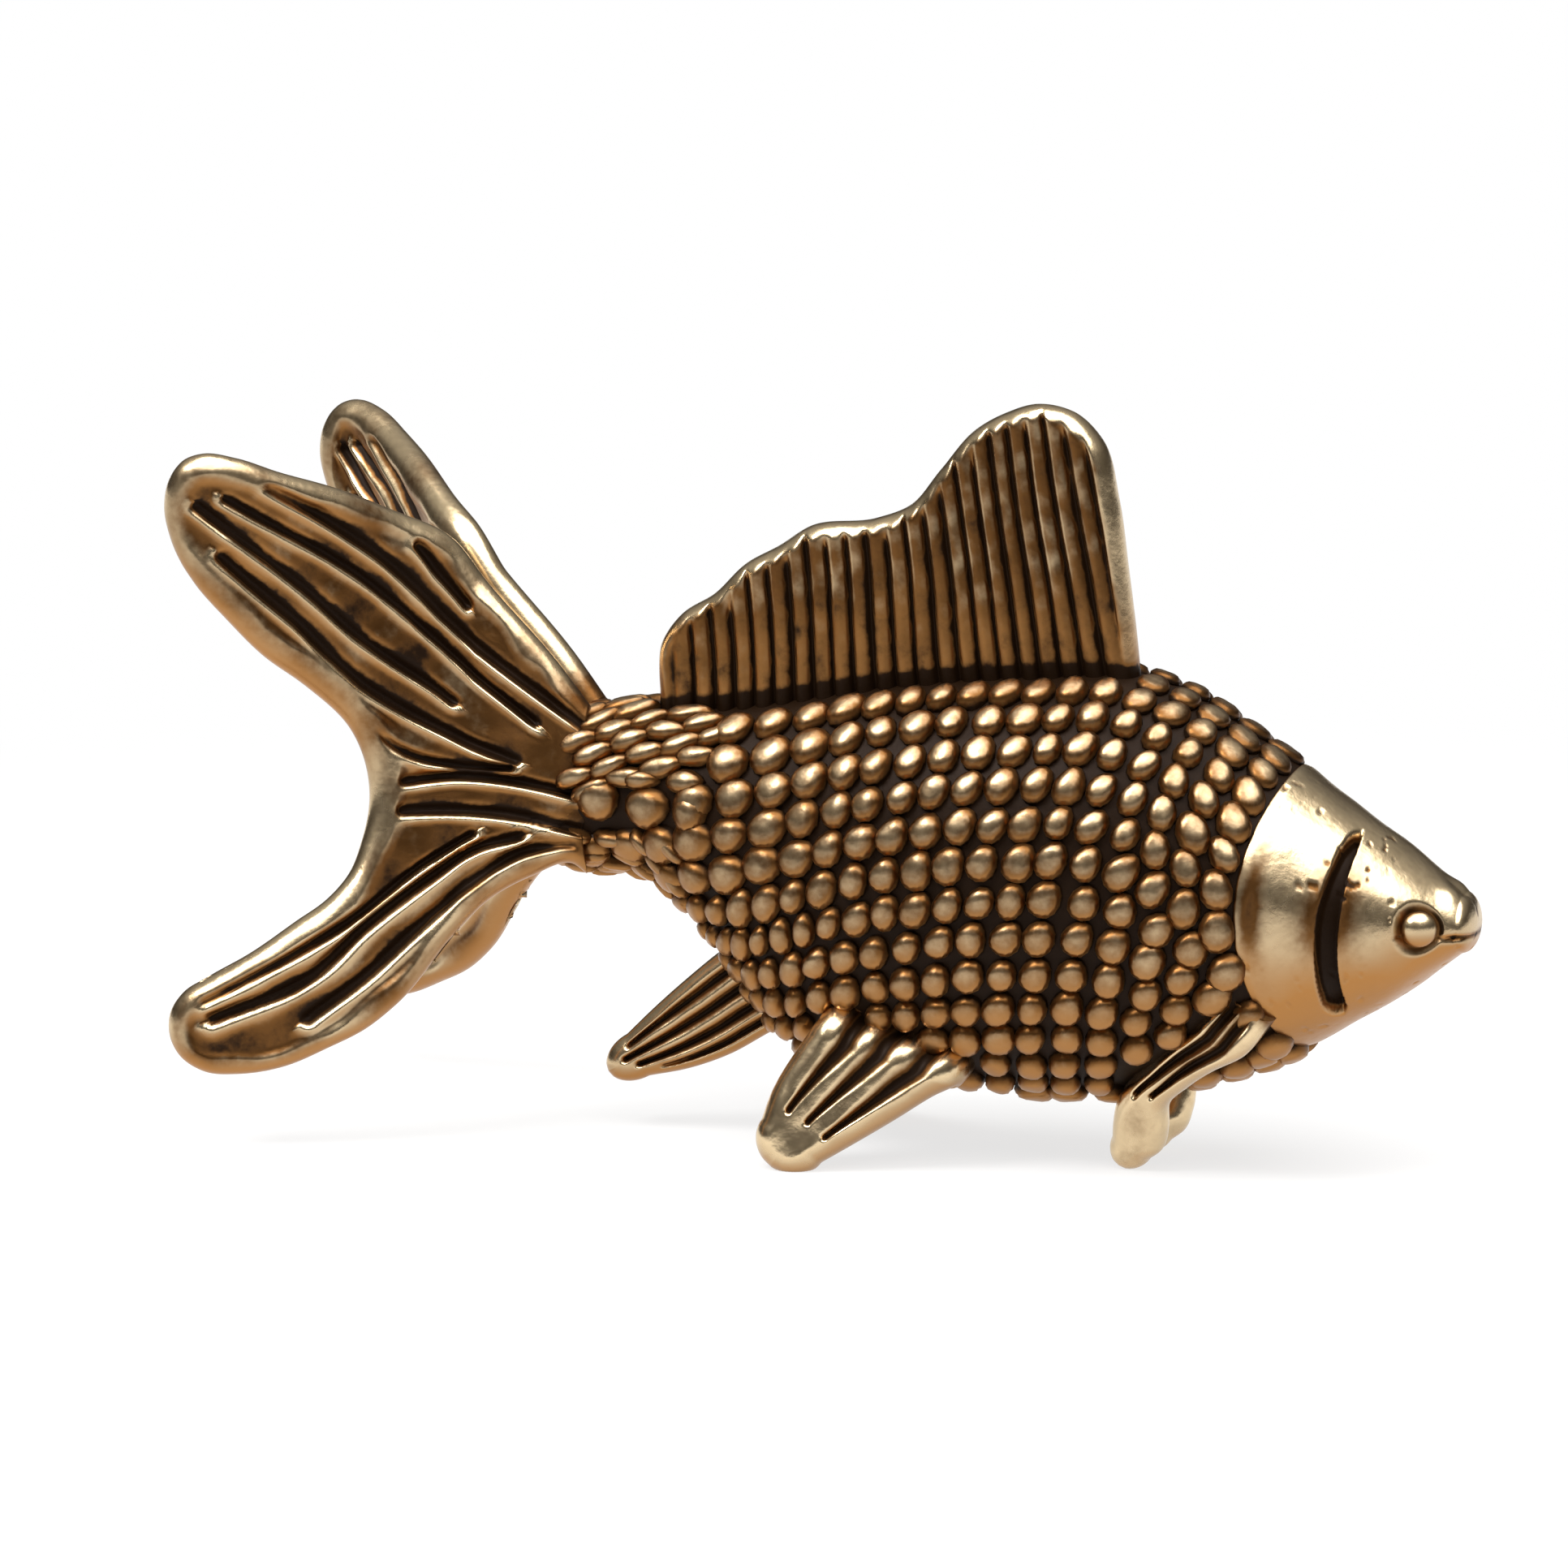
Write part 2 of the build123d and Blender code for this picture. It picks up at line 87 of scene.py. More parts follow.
# %% Node helpers
class Wire:
    """A node's output that can be used in sums."""

    def __init__(self, socket):
        self.socket = socket
        self.tree = socket.id_data

    @staticmethod
    def node(tree, kind, settings=None, **inputs):
        """Adds a node. Inputs are named by their socket, with _ for a space, or by in0, in1 and so on."""
        made = tree.nodes.new(kind)
        for name, value in (settings or {}).items():
            setattr(made, name, value)
        for name, value in inputs.items():
            number = name[2:] if name.startswith("in") and name[2:].isdigit() else None
            socket = made.inputs[int(number)] if number else made.inputs[name.replace("_", " ")]
            if isinstance(value, Wire):
                tree.links.new(value.socket, socket)
            else:
                socket.default_value = value
        return made

    def math(self, operation, *others):
        names = {f"in{k}": value for k, value in enumerate((self,) + others)}
        return Wire(Wire.node(self.tree, "ShaderNodeMath", {"operation": operation}, **names).outputs[0])

    def __add__(self, other):
        return self.math("ADD", other)

    def __sub__(self, other):
        return self.math("SUBTRACT", other)

    def __rsub__(self, other):
        return (self * -1.0) + other

    def __mul__(self, other):
        return self.math("MULTIPLY", other)

    def ramp(self, low, high):
        """0 below low, 1 above high, smooth between."""
        made = Wire.node(
            self.tree,
            "ShaderNodeMapRange",
            {"interpolation_type": "SMOOTHSTEP"},
            Value=self,
            From_Min=low,
            From_Max=high,
        )
        return Wire(made.outputs[0])

    def mix(self, low, high):
        """A colour between low and high."""
        made = Wire.node(self.tree, "ShaderNodeMix", {"data_type": "RGBA"}, in0=self, in6=low, in7=high)
        return Wire(made.outputs[2])


# %% [markdown]
# ## Antique brass
#
# Three tones make the finish: black-brown patina in the grooves, dull brown brass on the flats, and
# light gold where the polishing wheel touched. Every mesh carries an attribute called relief, 0 in a
# groove and 1 on a ridge, and the material turns it into colour, roughness and metal. In a few places
# relief also holds painted shade and painted highlights. The polish is painted brighter on faces that
# look up, a painted top light, and undersides get a warm orange-brown, a painted warm reflection. A
# second attribute adds to that painted reflection, and below 0 it takes it away and adds painted top
# light instead.


# %% Antique brass
def antique_brass(name, gold, brown, warm, patina):
    """A metal whose tone follows the relief attribute, uneven at the size of a scale and of a file mark."""
    material = bpy.data.materials.new(name)
    material.use_nodes = True
    tree = material.node_tree
    shader = tree.nodes["Principled BSDF"]
    shader.inputs["Specular IOR Level"].default_value = 0.1
    relief = Wire(Wire.node(tree, "ShaderNodeAttribute", {"attribute_name": "relief"}).outputs["Fac"])
    painted_reflection_share = Wire(Wire.node(tree, "ShaderNodeAttribute", {"attribute_name": "warm"}).outputs["Fac"])
    place = Wire(Wire.node(tree, "ShaderNodeTexCoord").outputs["Object"])
    cloud = Wire(Wire.node(tree, "ShaderNodeTexNoise", Vector=place, Scale=520.0, Detail=3.0).outputs[0])
    grain = Wire(Wire.node(tree, "ShaderNodeTexNoise", Vector=place, Scale=3200.0, Detail=4.0).outputs[0])
    normal = Wire(Wire.node(tree, "ShaderNodeNewGeometry").outputs["Normal"])
    up = Wire(Wire.node(tree, "ShaderNodeSeparateXYZ", Vector=normal).outputs["Z"])

    worn = relief + (cloud - 0.5) * 0.3 + (grain - 0.5) * 0.28
    metal = worn.ramp(0.12, 0.4)
    # Painted top light: the polish grows on faces that look up, and where the second attribute is below 0.
    painted_top_light = up.ramp(-0.45, 0.4) * 0.6 + 0.4 - painted_reflection_share.math("MINIMUM", 0.0) * 0.6
    polish_and_painted_light = worn.ramp(0.4, 0.95) * painted_top_light.math("MINIMUM", 1.0)
    colour = polish_and_painted_light.mix(brown + (1.0,), gold + (1.0,))
    # Painted warm reflection: undersides, and places where the second attribute is above 0, turn warm
    # orange-brown.
    colour = ((up * -1.0).ramp(0.0, 0.75) + painted_reflection_share).mix(colour, warm + (1.0,))
    colour = metal.mix(patina + (1.0,), colour)
    tree.links.new(colour.socket, shader.inputs["Base Color"])
    rough = 0.5 - metal * 0.14 - polish_and_painted_light * 0.12 + (grain - 0.5) * 0.12
    tree.links.new(rough.socket, shader.inputs["Roughness"])
    tree.links.new((metal * 0.75 + 0.25).socket, shader.inputs["Metallic"])
    bump = Wire.node(tree, "ShaderNodeBump", Strength=0.3, Distance=0.00004, Height=grain)
    tree.links.new(bump.outputs[0], shader.inputs["Normal"])
    return material


brass = antique_brass(
    "antique_brass",
    gold=(0.80, 0.62, 0.38),
    brown=(0.155, 0.069, 0.021),
    # the colour of the painted warm reflection on undersides
    warm=(0.40, 0.19, 0.06),
    patina=(0.012, 0.005, 0.0015),
)
print("finish", brass.name)

# %% [markdown]
# ## The body's lines
#
# Trunk and head share one form: upright ellipses along the fish. A few stations give belly, back and
# half width in millimetres, and a smooth curve joins them.

# %% Body lines
station_x = np.array([-10.13, -8.05, -5.32, -2.59, 2.09, 7.03, 11.58, 15.87, 18.57, 21.27, 23.37])
station_belly = np.array([10.1, 10.1, 7.86, 4.34, 2.96, 2.5, 2.75, 4.0, 5.26, 6.89, 8.5])
station_back = np.array([16.06, 16.37, 16.55, 16.94, 17.75, 18.25, 18.25, 15.95, 14.11, 12.3, 10.6])
station_half = np.array([2.2, 2.51, 3.36, 4.21, 5.4, 6.1, 6.0, 5.31, 4.39, 3.2, 1.71])
snout_x, nose_length = 23.93, 0.56
root_x = -10.13
gill_radius, gill_height = 9.8, 10.4
gill_axis_x = 15.87 + gill_radius


def curve_through(x, knots, values):
    """A smooth curve through values at the knots, with slopes taken from the neighbours."""
    slope = np.gradient(values, knots)
    k = np.clip(np.searchsorted(knots, x) - 1, 0, len(knots) - 2)
    span = knots[k + 1] - knots[k]
    t = (x - knots[k]) / span
    return (
        (2 * t**3 - 3 * t**2 + 1) * values[k]
        + (t**3 - 2 * t**2 + t) * span * slope[k]
        + (3 * t**2 - 2 * t**3) * values[k + 1]
        + (t**3 - t**2) * span * slope[k + 1]
    )


def section(x):
    """Centre height, half height and half width of the fish at x."""
    x = np.asarray(x, float)
    held = np.clip(x, station_x[0] - 2.0, station_x[-1])
    belly = curve_through(held, station_x, station_belly)
    back = curve_through(held, station_x, station_back)
    half = curve_through(held, station_x, station_half)
    past = np.clip((x - station_x[-1]) / nose_length, 0, 1)
    shrink = np.sqrt(1 - past**2)
    return (belly + back) / 2, (back - belly) / 2 * shrink, half * shrink


def skin(x, turn, lift=0.0):
    """Points of the skin at x, turned from the back round the right flank, raised by lift."""
    mid, high, half = section(x)
    return np.stack(
        np.broadcast_arrays(x, -(half + lift) * np.sin(turn), mid + (high + lift) * np.cos(turn)), axis=-1
    )


def smooth(value, low, high):
    t = np.clip((value - low) / (high - low), 0, 1)
    return t * t * (3 - 2 * t)


def gill_edge(turn):
    """x of the gill edge at a turn round the body: an arc, seen from the side."""
    x = np.full(np.shape(turn), gill_axis_x - gill_radius)
    for _ in range(12):
        mid, high, _half = section(x)
        z = mid + high * np.cos(turn)
        x = gill_axis_x - np.sqrt(gill_radius**2 - (z - gill_height) ** 2)
    return x


print("deepest section", [round(float(v), 2) for v in section(8.0)])


# %% [markdown]
# ## Mesh helpers
#
# A grid of points becomes a skin, and a plate is two skins set off to both sides of a middle surface
# and joined round its rim. Both store relief as an attribute, and a little noise gives every surface
# the unevenness of hand-cut wax.


# %% Mesh helpers
def wobble(points, size, depth, seed):
    """Soft noise at each point, in millimetres."""
    flat = points.reshape(-1, 3) / size + seed * 17.3
    values = [noise.noise(Vector(p)) for p in flat]
    return np.array(values).reshape(points.shape[:-1]) * depth


def object_from(name, points, faces, relief, warm=0.0):
    """A smooth-shaded piece at the origin, its points in millimetres, with its two attributes."""
    mesh = bpy.data.meshes.new(name)
    mesh.from_pydata((points * MM).tolist(), [], faces)
    for title, values in (("relief", relief), ("warm", np.broadcast_to(warm, relief.shape))):
        attribute = mesh.attributes.new(title, "FLOAT", "POINT")
        attribute.data.foreach_set("value", np.clip(values, -1, 1).astype(np.float32))
    shape = bmesh.new()
    shape.from_mesh(mesh)
    bmesh.ops.remove_doubles(shape, verts=shape.verts, dist=0.002 * MM)
    bmesh.ops.recalc_face_normals(shape, faces=shape.faces)
    shape.to_mesh(mesh)
    shape.free()
    mesh.shade_smooth()
    made = bpy.data.objects.new(name, mesh)
    bpy.context.collection.objects.link(made)
    mesh.materials.append(brass)
    print(name, len(mesh.vertices), "points")
    return made


def quads(rows, columns, start=0, wrap=False):
    """Faces of a grid of rows by columns. With wrap, the last column joins the first."""
    faces = []
    for r in range(rows - 1):
        for c in range(columns if wrap else columns - 1):
            after = (c + 1) % columns
            faces.append(
                (
                    start + r * columns + c,
                    start + r * columns + after,
                    start + (r + 1) * columns + after,
                    start + (r + 1) * columns + c,
                )
            )
    return faces


def plate(name, middle, half, relief, warm=None):
    """A closed plate round a grid of middle points. Both faces lie half to each side, along the normal."""
    rows, columns = half.shape
    across = np.gradient(middle, axis=0)
    along = np.gradient(middle, axis=1)
    normal = np.cross(across, along)
    normal /= np.maximum(np.linalg.norm(normal, axis=-1, keepdims=True), 1e-9)
    front = middle + normal * half[..., None]
    behind = middle - normal * half[..., None]
    count = rows * columns
    faces = quads(rows, columns) + [tuple(reversed(f)) for f in quads(rows, columns, count)]
    rim = list(range(columns)) + [r * columns + columns - 1 for r in range(1, rows)]
    rim += [(rows - 1) * columns + c for c in range(columns - 2, -1, -1)]
    rim += [r * columns for r in range(rows - 2, 0, -1)]
    for here, there in zip(rim, rim[1:] + rim[:1]):
        faces.append((there, here, here + count, there + count))
    points = np.concatenate([front.reshape(-1, 3), behind.reshape(-1, 3)])
    warm = np.zeros_like(half) if warm is None else warm
    return object_from(name, points, faces, np.tile(relief.ravel(), 2), np.tile(warm.ravel(), 2))


def distance_to(points, line):
    """Distance of flat points from a line of flat points."""
    flat = points.reshape(-1, 2)
    best = np.full(len(flat), 1e9)
    for a, b in zip(line[:-1], line[1:]):
        run = b - a
        t = np.clip(((flat - a) @ run) / max(run @ run, 1e-9), 0, 1)
        best = np.minimum(best, np.linalg.norm(flat - a - t[:, None] * run, axis=1))
    return best.reshape(points.shape[:-1])


def finish_piece(piece, *nodes):
    """The piece rides on the fish and stands for its CAD nodes."""
    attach(piece, "root")
    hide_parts(*nodes)
    return piece


# %% [markdown]
# ## Where the lower fins stand
#
# The scales leave room for the roots of the lower fins, so their places come first. A fin lies in a
# plane of its own: it runs down and back from a place on the skin, and its edges are given at a few
# places along that run.


# %% Places of the lower fins
def paddle_frame(root, dip, splay):
    """Root of a right fin, and its directions: along it, across it and out of its face."""
    down, out = math.radians(dip), math.radians(splay)
    run = np.array([-math.cos(down) * math.cos(out), -math.cos(down) * math.sin(out), -math.sin(down)])
    right = np.array([0.0, -1.0, 0.0])
    face = right - run * (right @ run)
    face /= np.linalg.norm(face)
    return np.array(root), run, np.cross(face, run), face


def skin_spot(x, turn):
    """A place on the right flank."""
    return skin(np.array(x), math.radians(turn)).tolist()


pelvic_pose = paddle_frame(skin_spot(2.77, 135.0), 54.0, 20.0)
pelvic_marks = [(-1.2, -2.45, 3.0), (0.0, -2.6, 3.0), (1.0, -2.62, 2.5), (2.5, -2.62, 1.9)]
pelvic_marks += [(4.6, -2.42, 1.0), (5.5, -2.15, 0.6)]
pelvic_slant = 1.7
pectoral_pose = paddle_frame(skin_spot(15.17, 130.0), 52.0, -38.0)
pectoral_marks = [(-1.2, -0.4, 1.5), (0.3, -0.8, 1.3), (1.7, -1.25, 0.6), (3.0, -1.6, 0.1)]
pectoral_marks += [(4.5, -1.95, -0.2), (5.4, -1.95, 0.2), (6.3, -1.7, 0.4), (6.9, -1.45, 0.2)]
anal_pose = paddle_frame((-3.93, 0.0, 5.9), 30.0, 0.0)
anal_marks = [(-1.2, -1.7, 2.0), (0.4, -1.6, 2.0), (2.1, -1.3, 2.02), (3.9, -0.9, 1.75), (5.4, -0.5, 1.3)]


def under_fin(spot):
    """Whether a lower fin covers this place on the skin."""
    for (root, run, across, face), marks, slant in (
        (pelvic_pose, pelvic_marks, pelvic_slant),
        (pectoral_pose, pectoral_marks, 0.0),
        (anal_pose, anal_marks, 0.0),
    ):
        along, rear_edge, front_edge = np.array(marks).T
        u, v, w = (float((spot - root) @ way) for way in (run, across, face))
        rear, front = (float(np.interp(u, along, edge)) for edge in (rear_edge, front_edge))
        start = along[0] + 0.4 + slant * (front - v) / (front - rear)
        if start < u < along[-1] and rear - 0.2 < v < front + 0.2 and abs(w) < 1.1:
            return True
    return False


print("fin roots", [np.round(pose[0], 2).tolist() for pose in (pelvic_pose, pectoral_pose, anal_pose)])

# %% [markdown]
# ## Trunk: the ground under the scales
#
# Between the scales lies the deepest patina, so the trunk starts as a plain dark skin. It runs on a
# little under the gill edge and is closed at both ends.

# %% Trunk ground
ground_rows, ground_columns = 120, 120
ground_turn = np.linspace(0, 2 * np.pi, ground_columns, endpoint=False)
ground_front = gill_edge(ground_turn) + 0.9
ground_share = np.linspace(0, 1, ground_rows)[:, None]
ground_x = (root_x - 0.2) + (ground_front - root_x + 0.2) * ground_share
ground_points = skin(ground_x, np.broadcast_to(ground_turn, ground_x.shape), -0.12).reshape(-1, 3)
ground_faces = quads(ground_rows, ground_columns, wrap=True)
ground_faces.append(tuple(reversed(range(ground_columns))))
ground_faces.append(tuple((ground_rows - 1) * ground_columns + c for c in range(ground_columns)))
trunk_ground = object_from("trunk_ground", ground_points, ground_faces, np.full(len(ground_points), 0.02))
finish_piece(trunk_ground, "trunk")

# %% [markdown]
# ## Trunk: the scales
#
# The scales are hand-cut pebbles that touch each other, in rows from gill to tail. A row keeps its
# distance from the back, so on the tapering rear flank the lower rows run down to the belly and only
# the upper ones reach the tail root. There they turn into thin wavy ropes round three large round
# scales and two long ones. All of them repeat one shape, so a single low dome is instanced by Geometry
# Nodes on a cloud of points. Each point says which way is out, which way the pebble is long, and how
# large it is.


# %% One scale
def scale_dome(segments=12, rings=4):
    """A low pebble of radius 1 and height 1, narrower to +X, whose steep sides go down into the ground."""
    points, relief, faces = [], [], []
    for ring in range(rings + 1):
        share = ring / (rings + 0.5)
        radius = math.cos(share * math.pi / 2) ** 0.5
        height = -0.5 + 1.5 * math.sin(share * math.pi / 2)
        for k in range(segments):
            angle = 2 * math.pi * (k + 0.5 * (ring % 2)) / segments
            across = math.sin(angle) * (1 - 0.1 * math.cos(angle))
            points.append((radius * math.cos(angle), radius * across, height))
            relief.append(0.66 * share**0.7)
    points.append((0, 0, 1.02))
    relief.append(0.68)
    top = len(points) - 1
    for ring in range(rings):
        for k in range(segments):
            a, b = ring * segments + k, ring * segments + (k + 1) % segments
            faces.append((a, b, b + segments, a + segments))
    for k in range(segments):
        faces.append((rings * segments + k, rings * segments + (k + 1) % segments, top))
    mesh = bpy.data.meshes.new("scale_dome")
    mesh.from_pydata(points, [], faces)
    mesh.attributes.new("relief", "FLOAT", "POINT").data.foreach_set("value", relief)
    mesh.shade_smooth()
    made = bpy.data.objects.new("scale_dome", mesh)
    bpy.context.collection.objects.link(made)
    return made


dome = scale_dome()
print("one scale has", len(dome.data.polygons), "faces")

# %% Seats for scales
scale_random = random.Random(7)
dorsal_front_x, dorsal_rear_x, dorsal_half = 11.12, -7.38, 0.85
seats = []


def turn_at(x, down):
    """Turn of the place that lies down millimetres under the back at x, and the way to the belly."""
    _mid, high, half = section(x)
    turn = np.linspace(0, np.pi, 80)
    pace = np.hypot(half * np.cos(turn), high * np.sin(turn)) * turn[1]
    way = np.cumsum(pace) - pace[0]
    return float(np.interp(down, way, turn)), float(way[-1])


def seat(x, down, lean, long_half, short_half, height):
    """Adds a scale on both flanks. A lean of 0 is upright, and a positive one leans to the snout."""
    x += scale_random.uniform(-0.04, 0.04)
    turn = turn_at(x, down + scale_random.uniform(-0.04, 0.04))[0]
    here = skin(x, turn)
    if under_fin(here) or (dorsal_rear_x < x < dorsal_front_x and abs(here[1]) < dorsal_half + 0.3):
        return
    to_front = skin(x + 0.05, turn) - here
    to_back = skin(x, turn - 0.02) - here
    to_front /= np.linalg.norm(to_front)
    to_back /= np.linalg.norm(to_back)
    lean = math.radians(lean + scale_random.uniform(-11, 11))
    long_way = to_front * math.sin(lean) + to_back * math.cos(lean)
    outward = np.cross(to_back, to_front)
    if outward @ (here - np.array([x, 0, float(section(x)[0])])) < 0:
        outward = -outward
    size = scale_random.uniform(0.92, 1.08)
    halves = np.array([long_half * size, short_half * size, height * scale_random.uniform(0.9, 1.1)])
    for flip in (np.array([1, 1, 1]), np.array([1, -1, 1])):
        seats.append((here * flip * MM, outward * flip, long_way * flip, halves * MM))


# %% Rows of scales
row_gap, scale_pitch, row_shift = 1.42, 1.28, 0.17
row_start_x, scale_height = 8.0, 0.4


def row_path(down, step):
    """x along a row from its start, and the way walked, up to the gill edge, the tail root or the belly."""
    rope_front = -4.7 if down < 4.2 else -5.9
    x, places, walked = row_start_x, [], [0.0]
    while True:
        turn, most = turn_at(x, down)
        to_gill = float(gill_edge(np.array([turn]))[0]) - x
        if to_gill < 0.1 or down > most - 0.3 or (x < rope_front and down < 5.6):
            return [one[0] for one in places], walked[1:]
        places.append((x, skin(x, turn)))
        gone = float(np.linalg.norm(places[-1][1] - places[-2][1])) if len(places) > 1 else 0.0
        walked.append(walked[-1] + gone)
        x += step


def scale_form(x, down, to_gill):
    """Lean, pitch and half length of a scale. They follow its place."""
    rear = float(smooth(-x, -3.0, 3.0))
    low = float(smooth(down, 7.5, 10.5))
    front = float(1 - smooth(to_gill, 1.5, 4.5))
    lean = 28 + 28 * rear * (1 - low) - 18 * rear * low - 54 * front * (1 - low)
    pitch = scale_pitch * (1 + 0.27 * rear * (1 - low) - 0.22 * rear * low + 0.1 * front)
    return lean, pitch, 0.77 * (1 + 0.18 * rear * (1 - low) + 0.08 * front)


def lay_row(down, step, first):
    """Scales along one way of a row, spread so that the last one ends where the row does."""
    places, walked = row_path(down, step)
    if len(places) < 2 or first > walked[-1]:
        return
    stops = []
    wanted, pitch = first, 0.0
    while wanted < walked[-1] - 0.15:
        x = float(np.interp(wanted, walked, places))
        lean, pitch, long_half = scale_form(x, down, walked[-1] - wanted if step > 0 else 9.0)
        stops.append((wanted, lean, pitch, long_half))
        wanted += pitch
    room = walked[-1] - 0.45 * pitch - first
    stretch = room / (stops[-1][0] - first) if len(stops) > 1 else 1.0
    for at, lean, pitch, long_half in stops:
        x = float(np.interp(first + (at - first) * stretch, walked, places))
        height = scale_height * (1 - 0.4 * float(smooth(x, 10.5, 12.0) * (1 - smooth(down, 2.0, 4.0))))
        seat(x, down, lean, long_half, 0.465 * pitch * stretch, height)


for row in range(15):
    shift = (row * row_shift % 1.0) * scale_pitch
    lay_row((row + 0.6) * row_gap, 0.05, scale_pitch - shift)
    lay_row((row + 0.6) * row_gap, -0.05, shift)
print(len(seats), "scales on the flanks")

# %% Ropes at the tail root
rope_gap, rope_pitch, rope_slope = 0.7, 1.4, 0.17
upper_ropes = [0.6 + rope_gap * k for k in range(6)]
lower_ropes = [5.7 + rope_gap * k for k in range(4)]
# Beads of a rope: lean, half length, half width and height
upper_bead, lower_bead = (70, 0.98, 0.43, 0.36), (104, 0.74, 0.34, 0.42)
for rope, down in enumerate(upper_ropes + lower_ropes):
    upper = rope < len(upper_ropes)
    x = (-4.6 if upper else -6.1) - rope_pitch * (0.5 if rope % 2 else 0.0)
    while x > root_x - 0.35:
        at = down - rope_slope * (x - root_x) * (1 if upper else -1.6)
        if 0.15 < at < turn_at(x, 0)[1] - 0.1:
            seat(x, at, *(upper_bead if upper else lower_bead))
        x -= rope_pitch
for x, down, long_half, short_half in (
    (-9.2, 4.4, 0.9, 0.8),
    (-7.15, 5.0, 1.0, 0.84),
    (-5.35, 5.4, 0.8, 0.74),
    (-7.4, 3.95, 0.85, 0.42),
    (-5.6, 4.2, 0.85, 0.45),
):
    seat(x, down, 62, long_half, short_half, 0.46)

seat_mesh = bpy.data.meshes.new("scale_seats")
seat_mesh.from_pydata([one[0].tolist() for one in seats], [], [])
for k, name in enumerate(("outward", "long_way", "half_sizes"), start=1):
    values = np.concatenate([one[k] for one in seats]).astype(np.float32)
    seat_mesh.attributes.new(name, "FLOAT_VECTOR", "POINT").data.foreach_set("vector", values)
scale_seats = bpy.data.objects.new("trunk_scales", seat_mesh)
bpy.context.collection.objects.link(scale_seats)
print(len(seats), "scales in all")


# %% Scales by Geometry Nodes
def scale_tree():
    """Domes on the seats, made real, roughened by noise, with the brass on them."""
    tree = bpy.data.node_groups.new("cast_scales", "GeometryNodeTree")
    tree.interface.new_socket("Geometry", in_out="INPUT", socket_type="NodeSocketGeometry")
    tree.interface.new_socket("Scale shape", in_out="INPUT", socket_type="NodeSocketObject")
    tree.interface.new_socket("Unevenness", in_out="INPUT", socket_type="NodeSocketFloat")
    tree.interface.new_socket("Seed", in_out="INPUT", socket_type="NodeSocketFloat")
    tree.interface.new_socket("Finish", in_out="INPUT", socket_type="NodeSocketMaterial")
    tree.interface.new_socket("Geometry", in_out="OUTPUT", socket_type="NodeSocketGeometry")
    given = tree.nodes.new("NodeGroupInput").outputs
    result = tree.nodes.new("NodeGroupOutput").inputs

    def attribute(name):
        made = Wire.node(tree, "GeometryNodeInputNamedAttribute", {"data_type": "FLOAT_VECTOR"}, Name=name)
        return Wire(made.outputs["Attribute"])

    turned = Wire.node(
        tree,
        "FunctionNodeAxesToRotation",
        {"primary_axis": "Z", "secondary_axis": "X"},
        in0=attribute("outward"),
        in1=attribute("long_way"),
    )
    shape = Wire.node(tree, "GeometryNodeObjectInfo", None, Object=Wire(given["Scale shape"]))
    spread = Wire.node(
        tree,
        "GeometryNodeInstanceOnPoints",
        None,
        Points=Wire(given["Geometry"]),
        Instance=Wire(shape.outputs["Geometry"]),
        Rotation=Wire(turned.outputs[0]),
        Scale=attribute("half_sizes"),
    )
    real = Wire.node(tree, "GeometryNodeRealizeInstances", None, Geometry=Wire(spread.outputs[0]))
    bumps = Wire.node(
        tree,
        "ShaderNodeTexNoise",
        {"noise_dimensions": "4D"},
        W=Wire(given["Seed"]),
        Scale=900.0,
        Detail=1.0,
    )
    centred = Wire.node(
        tree,
        "ShaderNodeVectorMath",
        {"operation": "SUBTRACT"},
        in0=Wire(bumps.outputs["Color"]),
        in1=(0.5, 0.5, 0.5),
    )
    offset = Wire.node(tree, "ShaderNodeVectorMath", {"operation": "SCALE"}, in0=Wire(centred.outputs[0]))
    tree.links.new(given["Unevenness"], offset.inputs["Scale"])
    moved = Wire.node(
        tree, "GeometryNodeSetPosition", None, Geometry=Wire(real.outputs[0]), Offset=Wire(offset.outputs[0])
    )
    painted = Wire.node(
        tree, "GeometryNodeSetMaterial", None, Geometry=Wire(moved.outputs[0]), Material=Wire(given["Finish"])
    )
    tree.links.new(painted.outputs[0], result[0])
    return tree


def grown(carrier, tree, values):
    """Runs a tree on an object, keeps the result as a plain mesh and takes the modifier off."""
    modifier = carrier.modifiers.new("nodes", "NODES")
    modifier.node_group = tree
    names = {item.name: item.identifier for item in tree.interface.items_tree if item.in_out == "INPUT"}
    for name, value in values.items():
        modifier[names[name]] = value
    graph = bpy.context.evaluated_depsgraph_get()
    mesh = bpy.data.meshes.new_from_object(carrier.evaluated_get(graph))
    carrier.modifiers.remove(modifier)
    carrier.data = mesh
    return carrier


trunk_scales = grown(
    scale_seats, scale_tree(), {"Scale shape": dome, "Unevenness": 0.22 * MM, "Seed": 3.0, "Finish": brass}
)
bpy.data.objects.remove(dome)
finish_piece(trunk_scales, "trunk")
print("scales have", len(trunk_scales.data.polygons), "faces")

# %% [markdown]
# ## Head
#
# The head is a smooth cone. A black groove parts its rear edge from the scales, and it has a deep
# curved gill slit, a dish round each eye, two nostril bumps and a short mouth line. One fine grid takes
# all of them as changes of height. Beside the slit and the rear edge it carries painted shade as dark
# smudges, and its lower part a painted warm reflection.

# %% Head
head_rows, head_columns = 190, 240
head_turn = np.linspace(0, 2 * np.pi, head_columns, endpoint=False)
head_edge = gill_edge(head_turn) - 0.25
head_share = np.linspace(0, 1, head_rows)[:, None]
head_spread = 1 - (1 - head_share) ** 1.35
head_x = head_edge + (snout_x - head_edge) * head_spread
head_turns = np.broadcast_to(head_turn, head_x.shape)
head_at = skin(head_x, head_turns)
head_z = head_at[..., 2]
from_edge = head_x - head_edge

